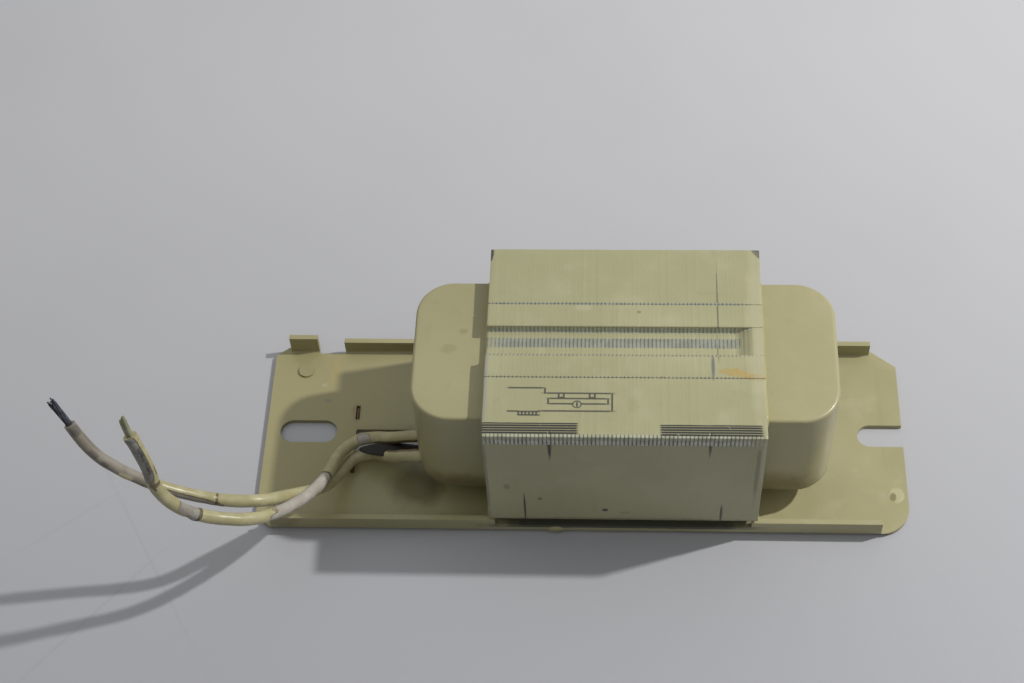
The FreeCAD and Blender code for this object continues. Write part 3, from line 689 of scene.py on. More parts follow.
def smooth_line(name: str, points: list[Point], count: int) -> np.ndarray:
    """Points read from the smooth curve that has the route's points as control points.

    Args:
        name: Name for the curve while it exists.
        points: Control points in metres.
        count: How many evenly spaced points to return.

    Returns:
        Points in millimetres.
    """
    curve = bpy.data.curves.new(name, "CURVE")
    curve.dimensions = "3D"
    curve.resolution_u = CURVE_STEPS
    spline = curve.splines.new("NURBS")
    spline.points.add(len(points) - 1)
    spline.points.foreach_set("co", np.column_stack([points, np.ones(len(points))]).ravel())
    spline.order_u = 3
    spline.use_endpoint_u = True
    holder = bpy.data.objects.new(name, curve)
    mesh = bpy.data.meshes.new_from_object(holder)
    found = np.empty(3 * len(mesh.vertices))
    mesh.vertices.foreach_get("co", found)
    bpy.data.objects.remove(holder)
    bpy.data.meshes.remove(mesh)
    bpy.data.curves.remove(curve)
    line = found.reshape(-1, 3) / MM
    along = spans(line)
    wanted = np.linspace(0.0, along[-1], count)
    return np.column_stack([np.interp(wanted, along, line[:, axis]) for axis in range(3)])


def dress(piece: bpy.types.Object, material: bpy.types.Material, slot: str, *nodes: str) -> None:
    """Gives a piece its material, seats it on the body and hides the nodes it replaces."""
    piece.data.materials.clear()
    piece.data.materials.append(material)
    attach(piece, BODY)
    if nodes:
        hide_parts(*nodes)
    LOG.info("%s: %d faces", piece.name, len(piece.data.polygons))


# Sub-assemblies

@dataclass
class BasePlate:
    """Folded steel plate with its slot, notch, window and slits, dipped in varnish."""

    node: str = "base_plate"
    edge: float = 0.2
    edge_steps: int = 3
    crease: float = 32.0
    flat_within: float = 1.0
    marks: tuple[Mark, ...] = (
        Mark((-48.6, 14.6, 1.0), (0.85, 3.2, 0.8), (192, 164, 92), 0.75, 0.5, 0.6, 1.2, -4.0),
        # A small raised blob whose pale colour is a painted highlight.
        Mark((-50.6, 11.5, 1.0), (0.6, 0.45, 0.6), (204, 200, 172), 0.9, 0.3, 0.5, relief=0.5),
        Mark((-49.5, 7.8, 1.0), (0.75, 0.5, 0.6), (112, 118, 130), 0.9, 0.5, 0.3, 0.8, relief=-0.5),
        Mark((-43.6, 5.2, 0.8), (0.95, 2.3, 1.1), (88, 56, 30), 0.9, 0.55, 0.7, 1.3),
        Mark((-43.3, -6.6, 0.8), (0.95, 2.4, 1.1), (88, 56, 30), 0.9, 0.55, 0.7, 1.3, 14.0),
        block((-35.6, -1.8, 0.6), (8.4, 3.8, 0.75), (92, 82, 52), 0.45, 0.3, 0.5, 2.0),
        # Painted shade: near black on the cut walls of the window and of the slot.
        block((-35.9, -1.8, 0.3), (8.2, 3.5, 0.5), (40, 40, 36), 0.95, 0.05, 0.15, 1.0),
        block((-52.6, 0.8, 0.3), (6.2, 3.1, 0.5), (46, 48, 50), 0.95, 0.05, 0.15, 1.0),
        # Painted shade with some dirt: dark brown on the plate beside the left cover's front foot, under the
        # leads.
        Mark((-31.0, -11.0, 1.0), (4.6, 4.2, 1.0), (74, 64, 40), 0.75, 0.5, 1.0, 3.0),
        # Painted shade: darker olive on the inner face of the back flange.
        block((-37.0, 19.9, 2.7), (9.6, 0.8, 1.1), (112, 104, 62), 0.7, 0.15, 0.4, 2.0),
        Mark((57.0, 5.0, 1.0), (0.5, 9.0, 0.8), (152, 143, 100), 0.4, 0.5, 0.9, 2.0),
        # Dent at the front right corner: a pale rim, partly a varnish bead and partly a painted highlight,
        # round a dark middle of painted shade.
        Mark((58.6, -12.2, 1.0), (1.3, 1.6, 0.8), (184, 178, 140), 0.7, 0.3, 0.5, 1.0, relief=1.0),
        Mark((57.9, -12.6, 1.0), (0.6, 0.9, 0.8), (116, 108, 72), 0.8, 0.3, 0.6, 1.0, relief=-1.0),
        Mark((-54.3, 14.8, 1.2), (1.5, 1.5, 0.9), (124, 122, 100), 0.6, 0.25, 0.4, 1.0),
        # Painted shade: dark bands on the flanges under the core's overhanging edges, front and back.
        block((7.9, -20.0, 2.6), (23.6, 0.95, 0.5), (52, 54, 54), 0.9, 0.2, 0.5, 2.0),
        block((7.9, 20.0, 2.6), (23.6, 0.95, 0.5), (52, 54, 54), 0.9, 0.2, 0.5, 2.0),
        # Painted shade: the plate's left end made darker for the lamp's fall-off.
        Mark((-56.0, 0.0, 1.0), (24.0, 34.0, 12.0), (152, 144, 104), 0.75, 0.2, 1.0, 9.0),
        # Painted shade: darker plate under the left cover and under the right cover.
        Mark((-20.0, 0.0, 1.0), (5.0, 17.0, 1.2), (146, 138, 98), 0.5, 0.5, 0.9, 4.0),
        Mark((36.5, 2.0, 1.0), (5.0, 17.0, 1.2), (156, 149, 110), 0.4, 0.5, 0.9, 4.0),
        Mark((-55.0, -20.0, 3.0), (3.0, 1.2, 1.8), (120, 112, 78), 0.6, 0.6, 0.6, 1.4),
    )

    def shape(self) -> bpy.types.Object:
        """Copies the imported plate, merges its triangles and rounds its edges as varnish does."""
        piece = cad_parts[self.node].copy()
        piece.name = "varnished_plate"
        piece.data = piece.data.copy()
        piece.data.name = "varnished_plate"
        for key in list(piece.keys()):
            del piece[key]
        work = bmesh.new()
        work.from_mesh(piece.data)
        bmesh.ops.remove_doubles(work, verts=work.verts, dist=MERGE)
        bmesh.ops.dissolve_limit(work, angle_limit=math.radians(self.flat_within),
                                 verts=work.verts, edges=work.edges)
        work.to_mesh(piece.data)
        work.free()
        bpy.context.scene.collection.objects.link(piece)
        bevel = piece.modifiers.new("soft_edges", "BEVEL")
        bevel.width = self.edge * MM
        bevel.segments = self.edge_steps
        bevel.limit_method = "ANGLE"
        bevel.angle_limit = math.radians(self.crease)
        bevel.use_clamp_overlap = True
        piece.data.shade_smooth()
        piece.data.set_sharp_from_angle(angle=math.radians(self.crease))
        return piece

    def build(self) -> None:
        """Builds and dresses the plate."""
        piece = self.shape()
        dress(piece, Varnish("plate_varnish", marks=self.marks).material(), "varnished_steel", self.node)


@dataclass
class CoreStack:
    """The laminated core: an outer frame of laminations and the middle limb that closes it."""

    left: float = -16.6
    pitch: float = 0.7
    count: int = 70
    half: float = 20.5
    sheet: float = 1.0
    top: float = 33.0
    shoulder: float = 5.0
    foot_top: float = 1.8
    foot_half: float = 19.4
    neck_half: float = 18.5
    foot_bevel: float = 0.6
    window_half: float = 14.02
    window_floor: float = 7.0
    window_roof: float = 27.0
    head_half: float = 8.0
    head_foot_half: float = 7.4
    limb_half: float = 6.8
    limb_foot: float = 7.8
    channel_half: float = 2.95
    channel_floor: float = 31.5
    edge: float = 0.32
    joint_edge: float = 0.16
    end_edge: float = 0.06
    end_crease: float = 50.0
    outline_step: float = 1.3
    seam_inset: float = 0.1
    sheet_spread: float = 0.012
    coat: float = 0.01
    swell: float = 0.03
    reach_out: float = 0.1
    worn_to: float = 29.1
    worn_past: float = 1.2
    row_height: float = 2.6
    row_ease: float = 1.0
    row_deep: float = 0.3
    rough_pitch: float = 3.1
    swell_pitch: float = 9.0
    fill_short: float = 0.12
    fill_before: float = 1.6
    fill_after: float = 1.8
    ink: Tone = (66, 67, 62)
    band_ink: Tone = (50, 50, 44)
    ink_half: float = 0.17

    def stations(self) -> tuple[np.ndarray, np.ndarray, np.ndarray]:
        """Places along the stack: each seam, then both shoulders of the next lamination.

        Returns:
            Place along x, depth share of the seam (1 in a seam), and the lamination's number.
        """
        shares = np.array([0.0, 0.17, 0.5, 0.83])
        number = np.repeat(np.arange(self.count), len(shares))
        place = self.left + (number + np.tile(shares, self.count)) * self.pitch
        depth = np.tile([1.0, 0.12, 0.0, 0.12], self.count)
        place = np.append(place, self.left + self.count * self.pitch)
        return place, np.append(depth, 1.0), np.append(number, self.count)

    def seam_depth(self, points: np.ndarray, seed: int) -> np.ndarray:
        """How open a seam is at each point: nearly closed by varnish, more open where it is worn.

        The worn places are the row along the front top edge and the channel, up to worn_to.
        """
        x, y, z = (points[..., axis] for axis in range(3))
        worn = x < self.worn_to + self.worn_past
        row_foot = self.top - self.row_height
        row = step(z, row_foot, row_foot + self.row_ease) * (y < self.row_deep - self.half)
        trough = (np.abs(y) < self.channel_half + self.reach_out) * (z > self.channel_floor - self.reach_out)
        rough = 0.5 + 0.5 * wavy(points, self.rough_pitch, seed)
        return np.clip(0.03 + 0.12 * rough ** 2 + 0.45 * row * worn + 0.25 * trough * worn, 0.0, 1.0)

    def channel_fill(self, points: np.ndarray) -> np.ndarray:
        """How far the varnish in the channel's right end lifts each point of the channel's floor."""
        deep = self.top - self.channel_floor
        inside = np.abs(points[..., 1]) < self.channel_half + self.reach_out
        above = np.clip((points[..., 2] - self.channel_floor) / deep, 0.0, 1.0)
        lift = (deep - self.fill_short) * (1.0 - above)
        filled = step(points[..., 0], self.worn_to - self.fill_before, self.worn_to + self.fill_after)
        return lift * filled * inside * (points[..., 2] > self.channel_floor - 2 * self.reach_out)

    def stack(self, name: str, corners: list[Corner], seed: int) -> bpy.types.Object:
        """Carries a lamination's rounded outline along the stack.

        A point is the outline's point moved in along its own normal by the seam's depth, which
        varies with seeded noise because varnish fills the seams unevenly, and by a hundredth or
        two that differs from one lamination to the next. End rings are drawn in by the edge
        rounding.
        """
        joint = [abs(abs(y) - self.head_half) < self.reach_out and z > self.window_roof for y, z in corners]
        radii = [self.joint_edge if meets else self.edge for meets in joint]
        outline = rounded(corners, radii, self.outline_step)
        ahead = directions(outline, closed=True)
        inward = np.column_stack([-ahead[:, 1], ahead[:, 0]])
        place, depth, number = self.stations()
        rng = np.random.default_rng(seed)
        shift = rng.normal(0.0, self.sheet_spread, self.count + 1)
        deep = rng.uniform(0.25, 1.0, self.count + 1)
        points = np.empty((len(place), len(outline), 3))
        points[..., 0] = place[:, None]
        points[..., 1:] = outline[None, :, :]
        seam = depth[:, None] * deep[number][:, None] * self.seam_depth(points, seed)
        level = np.where(number % 2 == 0, shift[number], -shift[number])[:, None]
        end = np.minimum(place - place[0], place[-1] - place)[:, None]
        eased = self.end_edge * (1.0 - step(end, 0.0, self.edge))
        swell = self.swell * wavy(points, self.swell_pitch, seed + 3)
        move = seam * self.seam_inset + 0.5 * level + eased + self.coat + np.abs(swell)
        points[..., 1:] += inward * move[..., None]
        points[..., 2] += self.channel_fill(points)
        seam[0] = 0.0
        seam[-1] = 0.0
        return skin(name, points, ring=True, caps=True, fields={"seam": seam}, crease=self.end_crease)

    def mirrored(self, right: list[Corner]) -> list[Corner]:
        """Closes an outline from its right half, listed bottom to top."""
        return right + [(-y, z) for y, z in reversed(right)]

    def shell(self) -> bpy.types.Object:
        """Outer laminations: feet, neck, side limbs and yoke round the coil's windows."""
        corners = self.mirrored([
            (self.foot_half - self.foot_bevel, self.sheet),
            (self.foot_half, self.sheet + self.foot_bevel),
            (self.foot_half, self.foot_top),
            (self.neck_half, self.foot_top),
            (self.neck_half, self.shoulder),
            (self.half, self.shoulder),
            (self.half, self.top),
            (self.head_half, self.top),
            (self.head_foot_half, self.window_roof),
            (self.window_half, self.window_roof),
            (self.window_half, self.window_floor),
        ])
        return self.stack("outer_laminations", corners, 11)

    def limb(self) -> bpy.types.Object:
        """Middle limb with its tapered head and the channel in its top."""
        corners = self.mirrored([
            (self.limb_half, self.limb_foot),
            (self.limb_half, self.window_roof),
            (self.head_foot_half, self.window_roof),
            (self.head_half, self.top),
            (self.channel_half, self.top),
            (self.channel_half, self.channel_floor),
        ])
        return self.stack("middle_laminations", corners, 23)

    def strips(self) -> tuple[TickStrip, ...]:
        """Strips where the varnish is thin over the lamination edges."""
        middle = (self.left + self.worn_to) / 2
        reach = (self.worn_to - self.left) / 2
        return (
            TickStrip((middle + 0.5, -self.half, self.top - 1.7), (reach + 0.9, 0.8, 0.75), 0.95,
                      (200, 202, 190), (178, 180, 167), (92, 93, 86)),
            TickStrip((middle + 0.5, -self.half, self.top - 0.5), (reach + 0.9, 0.62, 0.7), 0.95,
                      (178, 180, 160), (162, 164, 143), (116, 117, 99)),
            TickStrip((middle, self.channel_half, self.top - 1.0), (reach, 0.3, 0.7), 0.9,
                      (196, 200, 188), (188, 192, 180), (156, 160, 148)),
            TickStrip((middle, 0.4, self.channel_floor), (reach, 1.0, 0.3), 0.9,
                      (148, 151, 141), (136, 139, 128), (112, 116, 110)),
            TickStrip((middle, self.head_half, self.top), (reach, 0.26, 0.4), 0.85,
                      (160, 162, 144), (148, 152, 138), (118, 124, 122)),
            TickStrip((middle, -self.channel_half - 0.25, self.top), (reach, 0.24, 0.4), 0.8,
                      (162, 161, 136), (152, 153, 132), (116, 120, 112)),
            TickStrip((middle, -self.head_half, self.top), (reach, 0.22, 0.4), 0.8,
                      (166, 166, 138), (156, 157, 134), (122, 126, 116)),
        )

    def printed(self, x: Corner, y: Corner) -> Mark:
        """One printed line, given from where to where it reaches along x and along y."""
        reach = (max((x[1] - x[0]) / 2, self.ink_half), max((y[1] - y[0]) / 2, self.ink_half), 0.6)
        return block((sum(x) / 2, sum(y) / 2, self.top), reach, self.ink, 0.9, 0.1, 0.3, 0.6)

    def ink_marks(self) -> tuple[Mark, ...]:
        """A plain wiring sketch without words: two feeds, a coil, a lamp and its starter."""
        level = ((-12.4, -6.0, -10.3), (-6.0, 5.9, -11.4), (-6.8, 5.9, -15.1), (-12.4, -10.4, -15.2),
                 (-10.5, -6.7, -15.95), (-10.5, -6.7, -15.25), (-3.5, -2.6, -12.3), (1.9, 2.8, -12.3),
                 (-5.3, 5.1, -12.5), (-5.3, 5.1, -13.6))
        upright = ((-5.9, -11.5, -10.3), (5.8, -15.1, -11.4), (-3.5, -12.4, -11.4), (-2.6, -12.4, -11.4),
                   (1.9, -12.4, -11.4), (2.8, -12.4, -11.4), (-5.3, -13.6, -12.5), (5.1, -13.6, -12.5),
                   *((-10.4 + 0.62 * turn, -15.95, -15.25) for turn in range(6)))
        lamp = (-0.3, -13.7, self.top)
        return (
            *(self.printed((start, end), (y, y)) for start, end, y in level),
            *(self.printed((x, x), (start, end)) for x, start, end in upright),
            Mark(lamp, (0.85, 0.8, 0.6), self.ink, 0.9, 0.1, 0.25, 0.6),
            Mark(lamp, (0.62, 0.56, 0.6), (168, 164, 130), 0.9, 0.1, 0.25, 0.6),
            self.printed((-0.3, -0.3), (-14.2, -13.2)),
        )

    def wear(self) -> tuple[Mark, ...]:
        """Chips, cracks, specks and smears on the faces that the photograph shows, with painted highlights
        and painted shade at the right edge and along the foot of the front face.

        A row holds a Mark's values in order, with only x and y of its place on top, x and z in front.
        """
        chip, crack = (50, 48, 46), (44, 42, 40)
        top = (
            ((self.left, 19.2), (0.5, 1.5, 0.9), chip, 0.9, 0.4, 0.4, 0.9, 0.0, -0.5),
            ((32.2, 20.2), (1.1, 2.3, 0.9), chip, 0.9, 0.3, 0.35, 0.9, 32.0, -0.5),
            ((24.5, 6.9), (0.13, 9.6, 0.5), (96, 94, 80), 0.85, 0.15, 0.8, 1.5),
            ((24.4, -0.4), (0.13, 3.6, 2.2), (96, 94, 80), 0.8, 0.15, 0.8, 1.5),
            ((-16.4, -9.0), (0.32, 11.0, 0.6), (150, 151, 146), 0.7, 0.4, 0.6, 2.0),
            ((23.4, -5.6), (0.3, 2.6, 0.5), (104, 108, 106), 0.85, 0.15, 0.8, 1.5),
            ((26.6, -6.6), (1.9, 0.75, 0.5), (172, 148, 88), 0.75, 0.7, 0.6, 1.0, 0.0, 0.3),
            ((28.6, -7.2), (1.7, 0.7, 0.5), (176, 152, 92), 0.75, 0.7, 0.6, 1.0, 0.0, 0.3),
            ((31.0, -7.8), (1.9, 0.7, 0.5), (168, 142, 80), 0.8, 0.6, 0.6, 1.0, 0.0, 0.3),
            # Thick varnish along the top's right end, painted paler as a highlight.
            ((31.2, 2.0), (1.5, 19.0, 0.5), (184, 180, 150), 0.5, 0.4, 0.8, 3.0, 0.0, 0.3),
            ((9.2, -13.8), (1.0, 1.7, 0.5), (140, 142, 96), 0.3, 0.9, 0.9, 0.5),
            ((10.5, 6.2), (0.35, 0.3, 0.5), (128, 120, 86), 0.8, 0.3, 0.4, 0.6),
            ((14.6, -7.9), (0.35, 0.3, 0.5), (150, 128, 84), 0.8, 0.3, 0.4, 0.6),
            ((0.6, 7.2), (1.4, 0.7, 0.5), (184, 182, 156), 0.35, 0.6, 0.8, 1.0),
        )
        front = (
            ((-9.9, 9.2), (0.17, 0.6, 4.6), crack, 0.9, 0.25, 0.7, 1.5, 0.0, -1.0),
            ((25.6, 7.8), (0.22, 0.6, 2.8), crack, 0.85, 0.25, 0.7, 1.5, 0.0, -1.0),
            ((-5.0, 30.4), (0.3, 1.6, 4.4), crack, 0.95, 0.2, 0.6, 1.5, 0.0, -1.0),
            ((22.7, 31.0), (0.28, 1.4, 3.6), (74, 58, 44), 0.85, 0.2, 0.6, 1.5, 0.0, -1.0),
            ((4.6, 8.6), (0.55, 0.6, 0.5), (52, 50, 40), 0.9, 0.3, 0.5, 0.8),
            ((8.2, 7.7), (0.9, 0.6, 0.35), (150, 136, 74), 0.7, 0.5, 0.7, 0.8),
            ((-7.1, 12.3), (0.4, 0.6, 0.4), (84, 80, 62), 0.8, 0.3, 0.6, 0.8),
            ((-12.9, 16.4), (0.5, 0.6, 0.8), (112, 108, 84), 0.6, 0.4, 0.8, 0.8),
            # Painted shade: a darker band along the foot of the front face, above the shoulder.
            ((7.5, 5.1), (24.0, 0.9, 0.7), (104, 100, 76), 0.6, 0.5, 0.8, 1.6),
            # Right front edge: a pale band of thick varnish brightened as a painted highlight, then a dark
            # line of painted shade beside it.
            ((32.2, 26.0), (0.5, 1.0, 7.5), (186, 182, 152), 0.6, 0.3, 0.6, 2.0, 0.0, 0.6),
            ((31.2, 21.0), (0.35, 0.6, 9.0), (98, 92, 66), 0.5, 0.6, 0.8, 2.0),
            ((-16.4, 20.0), (0.3, 0.8, 14.0), (84, 86, 80), 0.5, 0.4, 0.8, 2.0),
        )
        return (*(Mark((x, y, self.top), *rest) for (x, y), *rest in top),
                *(Mark((x, -self.half, z), *rest) for (x, z), *rest in front))

    def build(self) -> None:
        """Builds and dresses both stacks."""
        varnish = Varnish("core_varnish", (170, 167, 133), (180, 177, 147), (160, 157, 122),
                          marks=self.wear() + self.ink_marks())
        bands = tuple(
            block((x, y, self.top), (reach, 1.2, 0.6), self.band_ink, 1.0, 0.04, 0.08)
            for x, y, reach in ((-8.5, -18.75, 8.4), (22.8, -18.95, 8.8)))
        finish = StackedSteel(varnish, self.left, self.pitch, self.strips(), bands).material()
        dress(self.shell(), finish, "varnished_steel", "core_shell")
        dress(self.limb(), finish, "varnished_steel", "core_limb")


class End(Enum):
    """The end of the core that a cover closes."""

    LEFT = -1
    RIGHT = 1


@dataclass
class EndCover:
    """Moulded cover over one end of the coil, open where it butts against the core."""

    end: End
    node: str
    face: float
    seed: int
    reach: float = 13.35
    half: float = 15.02
    base: float = 6.0
    top: float = 30.0
    corner: float = 7.0
    wall: float = 1.2
    rim: float = 0.62
    foot: float = 1.2
    crease: float = 40.0
    run_height: float = 9.0
    broad_swell: float = 0.045
    fine_swell: float = 0.03
    run_swell: float = 0.06
    plane_ease: float = 2.0
    tones: tuple[Tone, Tone, Tone] = ((168, 162, 126), (174, 168, 132), (162, 156, 118))
    marks: tuple[Mark, ...] = ()

    def plan(self, inset: float) -> np.ndarray:
        """The cover's U in plan, drawn in by an inset, from the front of the core to its back.

        Straight side, quarter circle, end wall, quarter circle, straight side; the same number
        of points for any inset.
        """
        radius = max(self.corner - inset, 0.3)
        half = self.half - inset
        reach = self.reach - inset
        turn = np.linspace(0.0, np.pi / 2, 15)
        side = np.linspace(0.0, reach - radius, 7)[:-1]
        front = np.column_stack([side, np.full(len(side), -half)])
        arc = np.column_stack([reach - radius + radius * np.sin(turn), -half + radius * (1 - np.cos(turn))])
        wall = np.linspace(arc[-1, 1], -arc[-1, 1], 12)[1:-1]
        middle = np.column_stack([np.full(len(wall), reach), wall])
        half_row = np.concatenate([front, arc])
        mirror = half_row[::-1] * (1.0, -1.0)
        return np.concatenate([half_row, middle, mirror])

    def profile(self) -> list[tuple[float, float, float]]:
        """Inset, height and share of the plan, from the middle of the foot up to the middle of the top."""
        shoulder = self.base + self.foot
        lid = self.rim + 0.5
        rows = [(self.foot, self.base, share) for share in (0.0, 0.35, 0.7, 0.96, 1.0)]
        rows += [(self.foot - 0.25, self.base + 0.1, 1.0), (0.16, shoulder - 0.1, 1.0),
                 (0.0, shoulder + 0.2, 1.0)]
        rows += [(0.0, float(height), 1.0) for height in np.linspace(self.base + 3.0, self.top - 2.4, 11)]
        rows += [(self.rim * (1 - math.cos(angle)), self.top - self.rim * (1 - math.sin(angle)), 1.0)
                 for angle in np.linspace(0.0, np.pi / 2, 7)]
        rows += [(lid, self.top - 0.01, 1.0)]
        rows += [(lid, self.top, share) for share in (0.9, 0.7, 0.4, 0.0)]
        return rows

    def surface(self, rows: list[tuple[float, float, float]]) -> np.ndarray:
        """Grid of the plan carried up the profile; share draws a row in toward the core's middle."""
        plans = np.stack([self.plan(inset) * share for inset, _, share in rows])
        height = np.array([row[1] for row in rows])
        points = np.empty(plans.shape[:2] + (3,))
        points[..., 0] = self.face + self.end.value * plans[..., 0]
        points[..., 1] = plans[..., 1]
        points[..., 2] = height[:, None]
        return points

    def shape(self) -> bpy.types.Object:
        """Outer wall with its uneven varnish, the inner wall, and the rim that joins them.

        Varnish stands off the wall by up to a tenth of a millimetre, more in slow runs toward
        the foot; the amount is seeded noise, zero on the core's plane. There both walls end on
        the line midway between them, which closes the shape.
        """
        rows = self.profile()
        outer = self.surface(rows)
        inner_rows = [(self.wall + 0.02, min(max(z, self.base + self.wall), self.top - self.wall), share)
                      for _, z, share in rows]
        inner = self.surface(inner_rows)
        centre = np.array([self.face, 0.0, (self.base + self.top) / 2])
        away = outer - centre
        away[..., 2] *= 0.25
        away /= np.linalg.norm(away, axis=-1, keepdims=True) + 1e-9
        off = np.abs(outer[..., 0] - self.face)
        low = 1.0 - step(outer[..., 2], self.base, self.base + self.run_height)
        swell = self.broad_swell * wavy(outer, 11.0, self.seed)
        swell = swell + self.fine_swell * wavy(outer, 4.0, self.seed + 1)
        upright = outer * (1.0, 1.0, 0.15)
        runs = self.run_swell * low * np.maximum(wavy(upright, 3.2, self.seed + 2), 0.0)
        flat = step(outer[..., 2], self.top - 0.5, self.top)
        amount = (swell + runs) * np.clip(off / self.plane_ease, 0.0, 1.0) * (1.0 - 0.75 * flat)
        outer += away * amount[..., None]
        first = (outer[:, :1] + inner[:, :1]) / 2
        last = (outer[:, -1:] + inner[:, -1:]) / 2
        walls = [np.concatenate([first, wall, last], axis=1) for wall in (outer, inner)]
        grid = np.concatenate([walls[0], walls[1][::-1]], axis=0)
        return skin(self.node + "_shell", grid, loop=True, crease=self.crease)

    def build(self) -> None:
        """Builds and dresses the cover."""
        finish = Varnish(self.node + "_varnish", *self.tones, marks=self.marks).material()
        dress(self.shape(), finish, "cover", self.node)


def end_covers() -> tuple[EndCover, EndCover]:
    """The left cover, painted darker as shade for the lamp's fall-off and smudged on top, and the right one;
    both get painted shade low on the front wall.
    """
    smudges_and_foot_shade = (
        Mark((-23.5, 0.0, 30.0), (1.3, 1.0, 0.8), (142, 136, 102), 0.6, 0.6, 0.8, 1.2),
        Mark((-21.1, 3.9, 30.0), (0.8, 0.6, 0.8), (136, 130, 98), 0.6, 0.6, 0.8, 1.2),
        # Painted shade: darker brown low on the left cover's front wall, near the plate.
        Mark((-22.0, -15.0, 6.5), (9.0, 3.0, 4.5), (98, 84, 50), 0.75, 0.4, 1.0, 3.0),
    )
    # Painted shade: darker olive low on the right cover's front wall, near the plate.
    stain = (Mark((36.0, -15.0, 7.0), (7.0, 3.0, 5.5), (116, 102, 60), 0.7, 0.4, 1.0, 3.0),)
    # Painted shade: the left cover's tones are darker, standing in for the lamp's fall-off.
    tones = ((160, 154, 118), (166, 160, 124), (154, 148, 111))
    return (EndCover(End.LEFT, "left_end_cover", -16.6, 31, tones=tones, marks=smudges_and_foot_shade),
            EndCover(End.RIGHT, "right_end_cover", 32.4, 37, marks=stain))


@dataclass(frozen=True)
class Patch:
    """A place on a lead, by length from its start and angle round it.

    Angle 0 faces forward and up; a positive angle is to the right of a lead that rises.
    """

    along: float
    angle: float
    length: float
    width: float
    amount: float = 1.0


@dataclass(frozen=True)
class Bared:
    """How the bared wires at a lead's end lie: thickness, distance from the middle and twist.

    opens is the share by which the bundle widens toward its tip.
    """

    wires: int
    thick: float
    bundle: float
    opens: float
    twist: float


FRAYED = Bared(9, 0.2, 0.42, 0.55, 2.6)
COATED = Bared(4, 0.34, 0.36, 0.0, 0.5)


